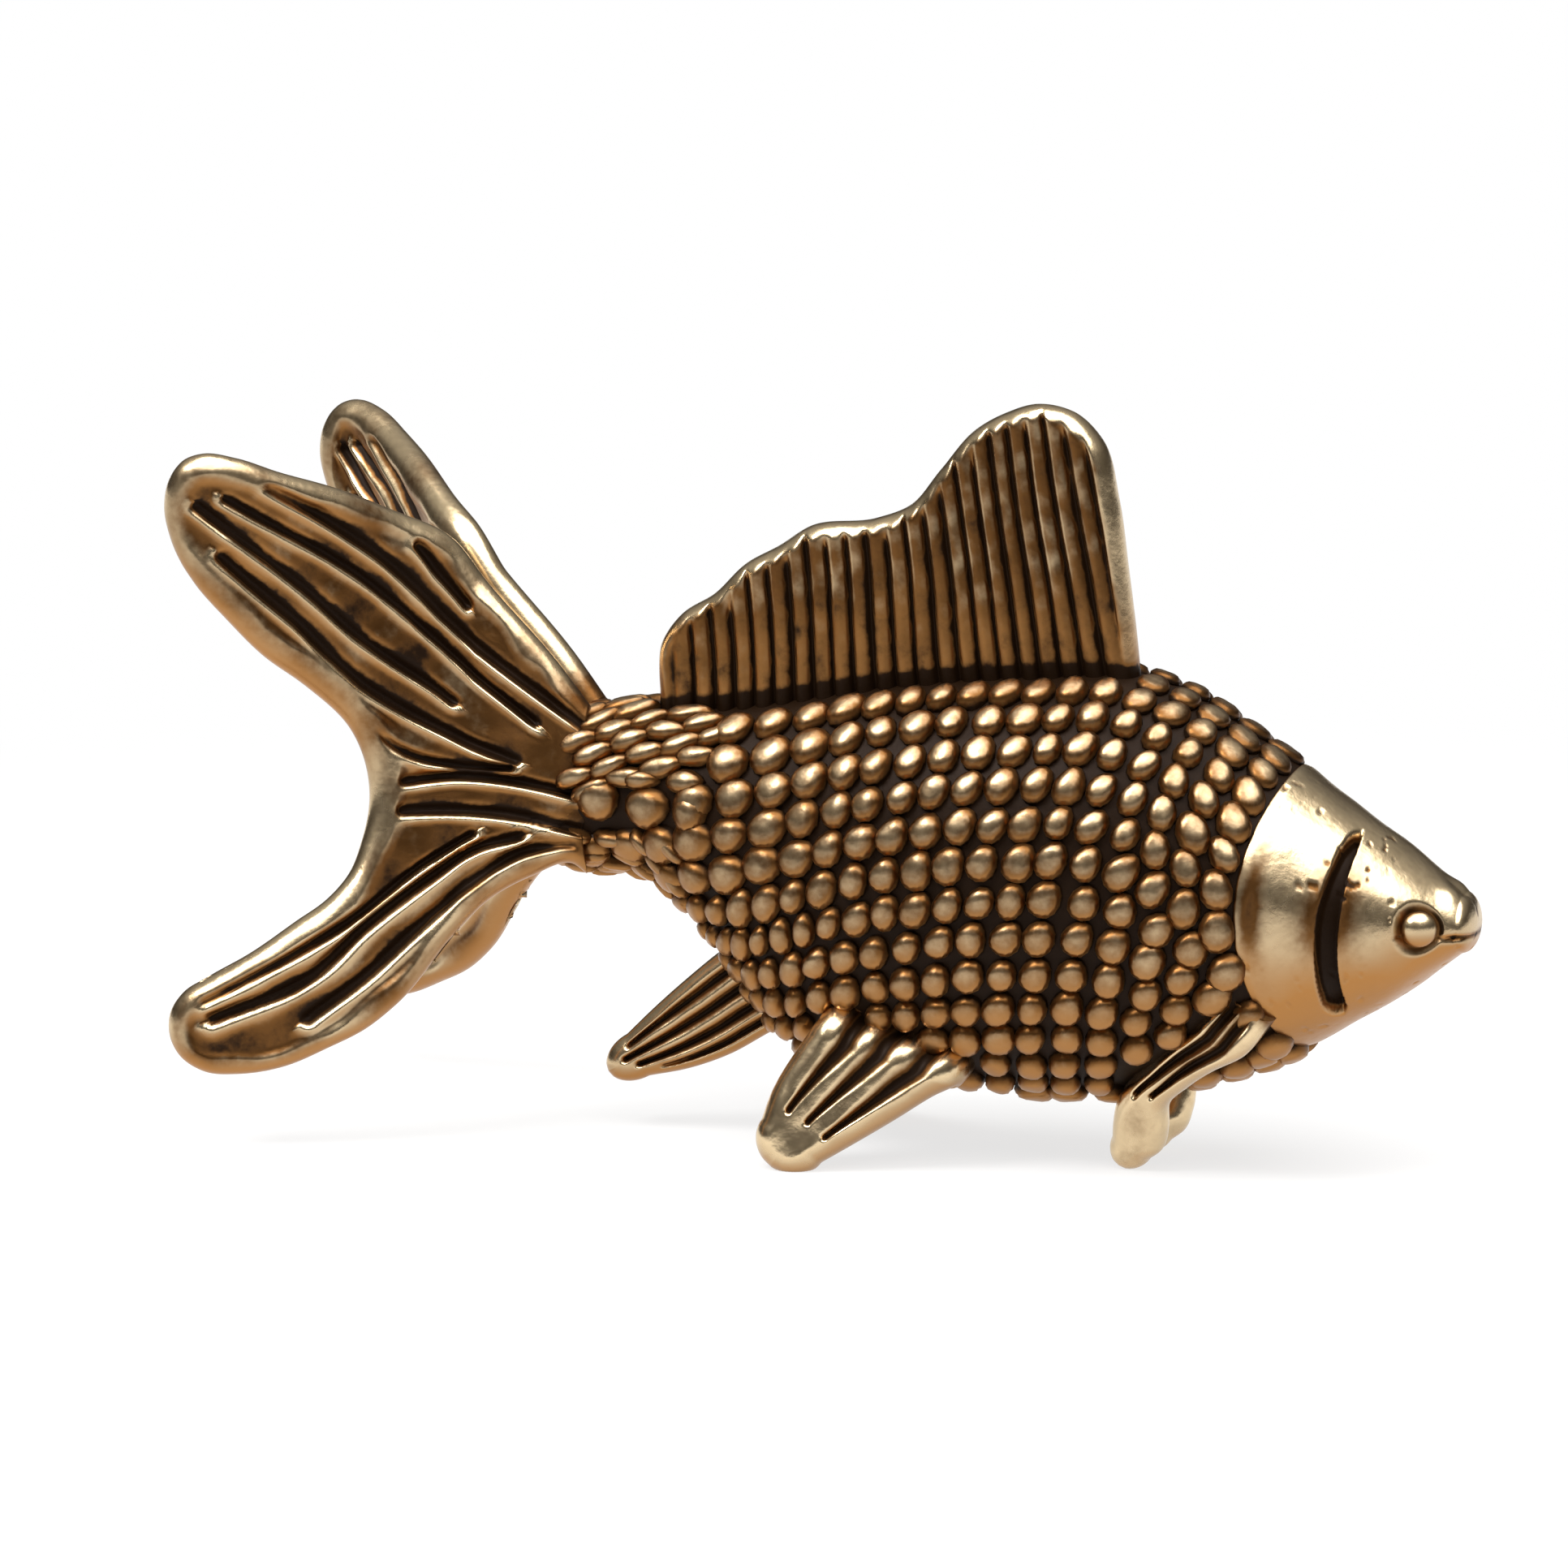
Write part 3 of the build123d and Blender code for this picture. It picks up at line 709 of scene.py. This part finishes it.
slit_radius, slit_x, slit_z = 17.0, 19.05, 8.6
slit_top, slit_bottom, slit_width = 13.2, 6.35, 0.56
slit_away = np.hypot(head_x - slit_x - slit_radius, head_z - slit_z) - slit_radius
slit_thin = smooth(head_z, 10.0, slit_top)
slit_end = (1 - smooth(head_z, slit_top - 0.7, slit_top)) * smooth(head_z, slit_bottom, slit_bottom + 0.5)
slit_half = slit_width / 2 * (1 - 0.4 * slit_thin) * np.sqrt(slit_end)
slit = (1 - smooth(np.abs(slit_away), slit_half, slit_half + 0.14)) * smooth(slit_end, 0.0, 0.2)
# Painted shade: dark smudges beside the slit and just in front of the rear edge, on smooth surface.
slit_shade = np.exp(-((slit_away / 0.95) ** 2)) * np.exp(-(((head_z - 10.3) / 1.6) ** 2))
edge_shade = 0.8 * np.exp(-(((from_edge - 0.8) / 0.4) ** 2)) * np.exp(-(((head_z - 10.6) / 2.1) ** 2))

eye_x, eye_z, eye_radius = 22.18, 9.75, 0.67
eye_y = float(section(eye_x)[2])
nostril_at, nostril_radius = (22.9, 0.7, 10.35), 0.6


def away_from_pair(points, x, y, z):
    """Distance of points from the nearer of two places, one on each side."""
    right, left = (np.linalg.norm(points - [x, side * y, z], axis=-1) for side in (-1, 1))
    return np.minimum(right, left)


eye_away = away_from_pair(head_at, eye_x, eye_y, eye_z)
dish = 1 - smooth(eye_away, eye_radius + 0.05, eye_radius + 0.45)
nostril = np.exp(-((away_from_pair(head_at, *nostril_at) / nostril_radius) ** 2))
mouth = np.exp(-(((head_z - 9.3) / 0.12) ** 2)) * smooth(head_x, 22.6, 23.3)
speckle = smooth(wobble(head_at, 0.33, 1.0, 3), 0.36, 0.6)
speckle *= smooth(wobble(head_at, 2.2, 1.0, 5), -0.1, 0.25)

head_lift = 0.1 * smooth(from_edge, 0.1, 0.6) * (1 - smooth(head_x, 17.0, 20.5))
head_lift -= 0.6 * (1 - smooth(from_edge, 0.0, 0.3))
head_lift += -0.6 * slit - 0.26 * dish + 0.32 * nostril - 0.2 * mouth - 0.05 * speckle
head_lift += wobble(head_at, 1.6, 0.06, 1) * smooth(from_edge, 0.3, 0.8)
head_lift *= 1 - smooth(head_x, snout_x - 0.25, snout_x)
head_relief = 0.9 - 0.95 * slit - 0.75 * np.maximum(slit_shade, edge_shade)
head_relief += 0.15 * nostril - 0.6 * dish - 0.7 * mouth - 0.35 * speckle
head_relief *= smooth(from_edge, 0.15, 0.4)
head_points = skin(head_x, head_turns, head_lift).reshape(-1, 3)
head_faces = quads(head_rows, head_columns, wrap=True)
head_faces.append(tuple(reversed(range(head_columns))))
# Painted warm reflection on the lower part of the head.
head_warm = 0.62 * (1 - smooth(head_z + wobble(head_at, 1.6, 2.0, 7), 6.5, 10.0))
head = object_from("head_casting", head_points, head_faces, head_relief.ravel(), head_warm.ravel())
finish_piece(head, "head")

# %% [markdown]
# ## Eyes
#
# Each eye is a polished bead in its dark dish. Its profile is turned round an axis that points outwards
# and a little to the snout.


# %% Eyes
def eye_bead(name, side):
    profile = [(0.0, -0.7), (0.75, -0.7), (0.98, -0.35), (1.0, -0.05), (0.94, 0.15), (0.8, 0.33)]
    profile += [(0.6, 0.47), (0.38, 0.56), (0.18, 0.61), (0.0, 0.62)]
    shade = [0.05, 0.05, 0.05, 0.2, 0.6, 0.85, 1.0, 1.0, 1.0, 1.0]
    turn = Vector((0.35, side, 0.0)).to_track_quat("Z", "Y")
    centre = Vector((eye_x, side * (eye_y - 0.05), eye_z))
    segments = 28
    points, relief = [], []
    for (radius, height), tone in zip(profile, shade):
        for k in range(segments):
            angle = 2 * math.pi * k / segments
            local = Vector((radius * math.cos(angle), radius * math.sin(angle), height)) * eye_radius
            points.append(centre + turn @ local)
            relief.append(tone)
    faces = quads(len(profile), segments, wrap=True)
    return object_from(name, np.array([tuple(p) for p in points]), faces, np.array(relief))


for name, side in (("eye_right", -1), ("eye_left", 1)):
    finish_piece(eye_bead(name + "_bead", side), name)

# %% [markdown]
# ## Dorsal fin
#
# A tall plate with a wavy rim. Fine grooves separate the rays: upright at the rear, leaning back at the
# front. The plate is a grid of upright columns, so its top follows the outline, and its thickness
# rounds off near the rim.


# %% Outlines
def spline(points, steps):
    """A smooth line through a few points."""
    points = np.array(points, float)
    knots = np.concatenate([[0], np.cumsum(np.linalg.norm(np.diff(points, axis=0), axis=1))])
    at = np.linspace(0, knots[-1], steps)
    return np.stack([curve_through(at, knots, points[:, k]) for k in range(points.shape[1])], axis=-1)


def rounded(away, thickness, rim):
    """Half thickness at a distance from the rim, as a quarter round."""
    inner = np.clip(away / rim, 0, 1)
    return thickness / 2 * np.sqrt(1 - (1 - inner) ** 2)


# %% Dorsal fin
dorsal_edge = [(11.1, 17.6), (10.95, 19.2), (10.55, 22.3), (10.2, 24.7), (9.55, 26.95), (8.4, 28.0)]
dorsal_edge += [(7.1, 28.22), (5.9, 27.85), (4.7, 27.15), (3.45, 25.7), (2.2, 24.25), (0.95, 23.75)]
dorsal_edge += [(-1.6, 23.35), (-2.85, 22.55), (-4.1, 21.85), (-5.35, 20.65), (-6.6, 19.85), (-7.3, 18.9), (-7.38, 16.0)]
dorsal_line = spline(dorsal_edge, 420)
dorsal_rows, dorsal_columns = 90, 540
dorsal_order = np.argsort(dorsal_line[:, 0])
dorsal_columns_x = np.linspace(-7.375, 11.095, dorsal_columns)
dorsal_top = np.interp(dorsal_columns_x, dorsal_line[dorsal_order, 0], dorsal_line[dorsal_order, 1])
dorsal_mid, dorsal_high, _ = section(dorsal_columns_x)
dorsal_base = np.minimum(dorsal_mid + dorsal_high - 0.9, dorsal_top - 0.2)
dorsal_up = np.linspace(0, 1, dorsal_rows)[:, None] ** 0.85
dorsal_z = dorsal_base + (dorsal_top - dorsal_base) * dorsal_up
dorsal_x = np.broadcast_to(dorsal_columns_x, dorsal_z.shape)
dorsal_away = distance_to(np.stack([dorsal_x, dorsal_z], axis=-1), dorsal_line)
dorsal_middle = np.stack([dorsal_x, np.zeros_like(dorsal_x), dorsal_z], axis=-1)

ray_pitch, ray_lean, dorsal_thickness = 0.8, math.tan(math.radians(11.5)), 1.7
dorsal_length = dorsal_front_x - dorsal_rear_x
above = dorsal_z - (dorsal_mid + dorsal_high)
lean = ray_lean * above
ray_foot = (dorsal_x + lean - lean * dorsal_front_x / dorsal_length) / (1 - lean / dorsal_length)
ray_number = (dorsal_front_x - ray_foot) / ray_pitch + wobble(dorsal_middle, 5.0, 0.3, 2)
ray_index = np.floor(ray_number)
ray_side = (ray_number - ray_index - 0.5) * ray_pitch
ray_away = np.abs(ray_side)
ray_end = 0.5 + 0.35 * np.sin(ray_index * 2.4)
ray_width = 0.1 + 0.025 * np.sin(ray_index * 1.7)
groove = np.exp(-((ray_away / ray_width) ** 2)) * smooth(dorsal_away, ray_end * 0.6, ray_end + 0.35)
dorsal_inside = smooth(dorsal_away, 0.2, 0.6)
dorsal_half_thick = rounded(dorsal_away, dorsal_thickness, 0.5) - 0.2 * groove - 0.06 * dorsal_inside
dorsal_half_thick += 0.13 * smooth(ray_away, 0.0, 0.4) * dorsal_inside
dorsal_half_thick += wobble(dorsal_middle, 1.3, 0.05, 9) * dorsal_inside
# Painted highlight: a thin bright line along one side of each ray, fading in above the back.
ray_painted_highlight = np.exp(-(((ray_side + 0.19) / 0.06) ** 2)) * smooth(above, 2.0, 5.0)
dorsal_relief = 1.0 - (0.52 - 0.35 * ray_painted_highlight) * dorsal_inside - 0.58 * groove
dorsal_relief += wobble(dorsal_middle, 0.7, 0.3, 11)
# Near the back the fin darkens: patina in the joint over the first half millimetre, and painted shade that
# fades out 5 mm above the back.
dorsal_relief *= 0.15 + 0.85 * smooth(above, 0.1, 0.6) - 0.25 * (1 - smooth(above, 1.0, 5.0))
# Painted warm reflection on the lower part of the fin.
dorsal_warm = 0.55 * (1 - smooth(above + wobble(dorsal_middle, 2.5, 2.0, 13), 0.5, 5.0))
dorsal_half_thick = np.maximum(dorsal_half_thick, 0)
dorsal = plate("dorsal_casting", dorsal_middle, dorsal_half_thick, dorsal_relief, dorsal_warm)
finish_piece(dorsal, "dorsal_fin")

# %% [markdown]
# ## Twin tail
#
# The tail is two lobed sheets, closed along the crest near the root and spread apart like a tent
# towards the tips. Black grooves fan out from the root, each with a raised ridge along its lower side
# that carries a painted highlight, inside a broad rim. A grid of rays from the root to the rim follows
# them, and each half is a plate on the tent's curved surface.

# %% Tail sheet
tail_length, tail_lift, tail_height, tail_spread, tail_thickness = 13.8, 3.0, 23.1, 9.4, 1.5
tail_top, tail_seam = 16.06, 4.1
tail_origin, tail_root_depth = np.array([-10.8, 13.2]), 1.5


def tail_place(back, up):
    """x and z of a place given by its shares of the tail's length and height."""
    x = root_x - np.asarray(back) * tail_length
    z = tail_lift + np.asarray(up) * tail_height
    return np.stack([x, z], axis=-1)


def tail_out(x, z):
    """Distance of the tail's middle surface from the mid plane: a crest above, a wider hem below."""
    back = np.maximum((root_x - x) / tail_length, -0.08)
    flare = tail_spread - tail_thickness
    rise = tail_lift + tail_height - tail_top
    crest_z = tail_top + rise * (0.06 + 2.2 * back - 1.15 * back**2)
    crest = tail_thickness / 2 + flare * smooth(back, tail_seam / tail_length, 0.95)
    hem = tail_thickness / 2 + flare * ((back + 0.1) / 1.2) ** 0.5
    return crest + (hem - crest) * (crest_z - z) / (crest_z - tail_lift + 0.6)


tail_shape = [(0.083, 0.647), (0.278, 0.774), (0.392, 0.855), (0.496, 0.894), (0.629, 0.945), (0.73, 0.975)]
tail_shape += [(0.818, 1.002), (0.893, 1.012), (0.948, 1.001), (0.99, 0.967), (1.003, 0.925), (0.986, 0.873)]
tail_shape += [(0.927, 0.804), (0.848, 0.742), (0.764, 0.679), (0.673, 0.626), (0.573, 0.55), (0.526, 0.435)]
tail_shape += [(0.541, 0.367), (0.568, 0.317), (0.616, 0.279), (0.692, 0.244), (0.795, 0.198), (0.906, 0.158)]
tail_shape += [(0.978, 0.131), (1.015, 0.096), (1.018, 0.061), (0.99, 0.025), (0.927, 0.0), (0.829, -0.004)]
tail_shape += [(0.717, 0.008), (0.607, 0.037), (0.515, 0.066), (0.439, 0.105), (0.302, 0.216), (0.227, 0.266)]
tail_shape += [(0.122, 0.303), (0.018, 0.322)]
tail_corners = [(-10.0, 16.3)] + [tuple(tail_place(*mark)) for mark in tail_shape] + [(-9.9, 10.05)]
fan_columns, fan_rows = 470, 102
tail_line = spline(tail_corners, fan_columns)
fan_share = (1 - (1 - np.linspace(0.04, 1, fan_rows)) ** 1.3)[:, None]
fan_x = tail_origin[0] + fan_share * (tail_line[:, 0] - tail_origin[0])
fan_x += tail_root_depth * (1 - fan_share) ** 3
fan_z = tail_origin[1] + fan_share * (tail_line[:, 1] - tail_origin[1])
fan_flat = np.stack([fan_x, fan_z], axis=-1)
fan_away = distance_to(fan_flat, tail_line)
print("tail sheet", fan_rows, "by", fan_columns, "points")


# %% Tail rays
def signed_distance(points, line):
    """Distance of flat points from a line, positive on the left of its run."""
    flat = points.reshape(-1, 2)
    best, side = np.full(len(flat), 1e9), np.ones(len(flat))
    for a, b in zip(line[:-1], line[1:]):
        run, rel = b - a, flat - a
        t = np.clip((rel @ run) / max(run @ run, 1e-9), 0, 1)
        away = np.linalg.norm(rel - t[:, None] * run, axis=1)
        nearer = away < best
        best[nearer] = away[nearer]
        side[nearer] = np.sign(run[0] * rel[:, 1] - run[1] * rel[:, 0])[nearer]
    return (best * side).reshape(points.shape[:-1])


tail_grooves = [
    [(0.33, 0.736), (0.4, 0.785), (0.46, 0.838)],
    [(-0.01, 0.539), (0.19, 0.625), (0.37, 0.711), (0.52, 0.817), (0.64, 0.891), (0.76, 0.955)],
    [(0.13, 0.548), (0.36, 0.659), (0.63, 0.83), (0.85, 0.941)],
    [(0.35, 0.583), (0.55, 0.686), (0.72, 0.81), (0.91, 0.93)],
    [(0.18, 0.489), (0.35, 0.533), (0.55, 0.618), (0.71, 0.74), (0.86, 0.847)],
    [(0.19, 0.476), (0.35, 0.484), (0.45, 0.504), (0.54, 0.543)],
    [(0.01, 0.433), (0.18, 0.457), (0.34, 0.466), (0.46, 0.462)],
    [(0.01, 0.378), (0.2, 0.405), (0.34, 0.412), (0.46, 0.415)],
    [(0.28, 0.372), (0.41, 0.324), (0.55, 0.252), (0.72, 0.188), (0.92, 0.123)],
    [(0.16, 0.367), (0.25, 0.355), (0.38, 0.306), (0.53, 0.234), (0.65, 0.16), (0.9, 0.091)],
    [(0.03, 0.349), (0.14, 0.345), (0.27, 0.296), (0.4, 0.23), (0.52, 0.157), (0.66, 0.09)],
]
fan_spots = np.stack([fan_x, 0 * fan_x, fan_z], axis=-1)
fan_low = 1 - smooth(fan_z, 8.0, 12.0)
tail_groove = np.zeros_like(fan_x)
tail_ridge_and_highlight = np.zeros_like(fan_x)
for k, marks in enumerate(tail_grooves):
    away = signed_distance(fan_flat, spline([tuple(tail_place(*mark)) for mark in marks], 30))
    width = 0.17 + 0.03 * math.sin(k * 2.1) + 0.04 * fan_low
    tail_groove = np.maximum(tail_groove, np.exp(-((away / width) ** 2)))
    beside = (away - width - 0.14) / (0.14 + 0.14 * fan_low)
    tail_ridge_and_highlight = np.maximum(tail_ridge_and_highlight, np.exp(-(beside**2)))
tail_field = smooth(fan_away + wobble(fan_spots, 1.5, 0.3, 16), 0.6, 1.1)
tail_groove *= smooth(fan_away, 0.35, 0.8)
tail_ridge_and_highlight *= tail_field * (1 - tail_groove)
tail_half = rounded(fan_away, tail_thickness, 0.75)
tail_half += 0.17 * tail_ridge_and_highlight - 0.16 * tail_field - 0.3 * tail_groove
tail_half += wobble(fan_spots, 1.2, 0.09, 12) * smooth(fan_away, 0.2, 0.8)
# The ridge beside each groove is raised, and its brightness here is a painted highlight.
tail_relief = 0.7 - 0.32 * tail_field - 0.6 * tail_groove + 0.75 * tail_ridge_and_highlight
tail_relief += wobble(fan_spots, 1.7, 0.36, 14) + 0.15 * (1 - smooth(fan_away, 0.1, 0.35))
tail_relief *= 0.45 + 0.55 * smooth(root_x - fan_x, 0.0, 1.2)
tail_y = -tail_out(fan_x, fan_z)
for word, side in (("right", 1), ("left", -1)):
    tail_middle = np.stack([fan_x, side * tail_y, fan_z], axis=-1)
    tail = plate(f"tail_{word}_casting", tail_middle, np.maximum(tail_half, 0), tail_relief)
    finish_piece(tail, f"tail_fin_{word}")

# %% [markdown]
# ## Paired fins and anal fin
#
# Each is a paddle with a few bold grooves that are wide at the root and run out to a point. Pelvic and
# pectoral fins reach the table, where their tips are ground flat, and the fish stands on them. A paddle
# is a grid along its own middle line, with a rear and a front edge at each place along it.


# %% Paddles
def paddle_grooves(flat, along, centre, spread, grooves):
    """Depth of the grooves at flat points. Each has a share across the fin, start, end and width."""
    depth = np.zeros(flat.shape[:-1])
    for place, start, end, wide in grooves:
        line = np.stack([along, centre + spread * place], -1)
        line = line[(along >= start) & (along <= end)]
        width = 0.09 + wide * smooth(end - flat[..., 0], 0.0, 0.85 * (end - start))
        depth = np.maximum(depth, np.exp(-((distance_to(flat, line) / width) ** 2)))
    return depth


def paddle(name, node, pose, marks, tip, slant, thickness, grooves, warm, sink, side=1):
    """A fin in its own plane. marks: place along it, rear edge and front edge.

    slant: how much later the rear edge starts. sink: how far the root bends into the body.
    """
    root, run, across, face = pose
    marks = np.array(marks, float)

    def edges(along):
        held = np.minimum(along, marks[-1, 0])
        low = curve_through(held, marks[:, 0], marks[:, 1])
        high = curve_through(held, marks[:, 0], marks[:, 2])
        ease = np.clip((along - marks[-1, 0]) / (tip - marks[-1, 0]), 0, 1)
        return (low + high) / 2, (high - low) / 2, np.sqrt(np.maximum(1 - ease**2, 0))

    share = np.sin(np.linspace(-1, 1, 110) * math.pi / 2)
    line = np.linspace(marks[0, 0], tip, 120)
    late = (1 - (line - line[0]) / (tip - line[0])) ** 2
    along = line[:, None] + slant * late[:, None] * (1 - share) / 2
    centre, spread, closing = edges(along)
    flat = np.stack([along, centre + spread * closing * share], axis=-1)
    away = distance_to(flat, np.concatenate([flat[:, -1], flat[::-1, 0]]))
    centre, spread, _closing = edges(line)
    groove = paddle_grooves(flat, line, centre, spread, grooves) * smooth(away, 0.2, 0.5)
    depth = sink * (1 - smooth(along - along[0], 0.0, 1.4))
    middle = root + flat[..., :1] * run + flat[..., 1:] * across - depth[..., None] * face
    half = rounded(away, thickness, 0.75) - 0.36 * groove
    half += wobble(middle, 1.1, 0.06, 21) * smooth(away, 0.2, 0.7)
    relief = 0.84 + 0.1 * (1 - smooth(away, 0.3, 0.8)) - 0.95 * groove
    relief += wobble(middle, 1.7, 0.22, 23)
    relief *= 0.35 + 0.65 * smooth(along - along[0], 0.1, 0.9)
    made = plate(name, middle * [1, side, 1], np.maximum(half, 0), relief, np.full_like(half, warm))
    for vertex in made.data.vertices:
        vertex.co.z = max(vertex.co.z, 0.0)
    finish_piece(made, node)


pelvic_grooves = [(-0.42, -0.5, 4.6, 0.22), (0.05, -0.5, 4.5, 0.22), (0.55, -0.5, 4.6, 0.2)]
pectoral_grooves = [(-0.4, -0.6, 4.3, 0.12), (0.2, -0.4, 3.9, 0.12)]
anal_grooves = [(-0.55, 0.2, 5.4, 0.1), (-0.1, 0.2, 5.8, 0.1), (0.35, 0.2, 5.4, 0.1)]
anal_grooves += [(0.72, 0.2, 4.6, 0.08)]
# The painted warm reflection of each fin: below 0, as on pelvic and pectoral fins, it gives painted top light
# instead.
pelvic_form = dict(tip=6.75, slant=pelvic_slant, thickness=2.0, grooves=pelvic_grooves, warm=-0.3, sink=0.9)
pectoral_form = dict(tip=7.85, slant=0.0, thickness=1.7, grooves=pectoral_grooves, warm=-0.7, sink=0.9)
anal_form = dict(tip=6.75, slant=0.0, thickness=1.4, grooves=anal_grooves, warm=0.1, sink=0.0)
for word, side in (("right", 1), ("left", -1)):
    pelvic = (f"pelvic_{word}_casting", f"pelvic_fin_{word}", pelvic_pose, pelvic_marks)
    paddle(*pelvic, side=side, **pelvic_form)
    pectoral = (f"pectoral_{word}_casting", f"pectoral_fin_{word}", pectoral_pose, pectoral_marks)
    paddle(*pectoral, side=side, **pectoral_form)
paddle("anal_casting", "anal_fin", anal_pose, anal_marks, **anal_form)

# %% [markdown]
# ## Studio
#
# A white table, one large panel overhead, a smaller key panel at the upper left in front, and a
# surround that is bright overhead and dim at the horizon. Polished brass shows what is around it, so
# the dim horizon is what gives each scale its dark middle. Far from the fish the table only glows where
# it is seen, which keeps the background evenly white. Near the fish a quarter of it is paint, enough
# for a soft shadow.

# %% White table
floor_mesh = bpy.data.meshes.new("floor")
floor_mesh.from_pydata([(-3, -3, 0), (3, -3, 0), (3, 3, 0), (-3, 3, 0)], [], [(0, 1, 2, 3)])
floor = bpy.data.objects.new("floor", floor_mesh)
bpy.context.collection.objects.link(floor)


def white_table():
    """White paint that glows where it is seen, more so away from the fish."""
    material = bpy.data.materials.new("white_table")
    material.use_nodes = True
    tree = material.node_tree
    paint = tree.nodes["Principled BSDF"]
    paint.inputs["Base Color"].default_value = (0.9, 0.895, 0.885, 1.0)
    paint.inputs["Roughness"].default_value = 0.8
    path = Wire.node(tree, "ShaderNodeLightPath").outputs
    seen = Wire(path["Is Camera Ray"]) + Wire(path["Is Glossy Ray"]) + Wire(path["Is Transmission Ray"])
    place = Wire(Wire.node(tree, "ShaderNodeTexCoord").outputs["Object"])
    length = Wire.node(tree, "ShaderNodeVectorMath", {"operation": "LENGTH"}, in0=place)
    away = Wire(length.outputs["Value"])
    share = seen.math("MINIMUM", 1.0) * (away.ramp(0.02, 0.1) * 0.25 + 0.75)
    glow = Wire.node(tree, "ShaderNodeEmission", Color=(1.0, 1.0, 1.0, 1.0), Strength=1.0)
    mixed = Wire.node(
        tree, "ShaderNodeMixShader", None, in0=share, in1=Wire(paint.outputs[0]), in2=Wire(glow.outputs[0])
    )
    tree.links.new(mixed.outputs[0], tree.nodes["Material Output"].inputs["Surface"])
    return material


floor_mesh.materials.append(white_table())
print("table of", floor_mesh.materials[0].name)


# %% Lights
def panel(name, place, size, watts, aim=(0.0, 0.0, 0.012)):
    """A round soft panel that faces the fish."""
    light = bpy.data.lights.new(name, "AREA")
    light.shape = "DISK"
    light.size = size
    light.energy = watts
    made = bpy.data.objects.new(name, light)
    made.location = place
    made.rotation_euler = (Vector(place) - Vector(aim)).to_track_quat("Z", "Y").to_euler()
    bpy.context.collection.objects.link(made)


panel("overhead_panel", (0.08, -0.08, 0.42), 0.66, 4.2)
panel("key_panel", (-0.2, -0.22, 0.36), 0.2, 1.7)
world = bpy.data.worlds.new("surround")
bpy.context.scene.world = world
world.use_nodes = True
air = world.node_tree
toward = Wire(Wire.node(air, "ShaderNodeTexCoord").outputs["Generated"])
height = Wire(Wire.node(air, "ShaderNodeSeparateXYZ", Vector=toward).outputs["Z"])
tone = height.ramp(0.1, 0.8).mix((0.12, 0.105, 0.09, 1.0), (1.0, 0.985, 0.95, 1.0))
air.links.new(tone.socket, air.nodes["Background"].inputs["Color"])
air.nodes["Background"].inputs["Strength"].default_value = 0.35
bpy.context.scene.view_settings.view_transform = "Standard"
print("lights", [lamp.name for lamp in bpy.data.lights])
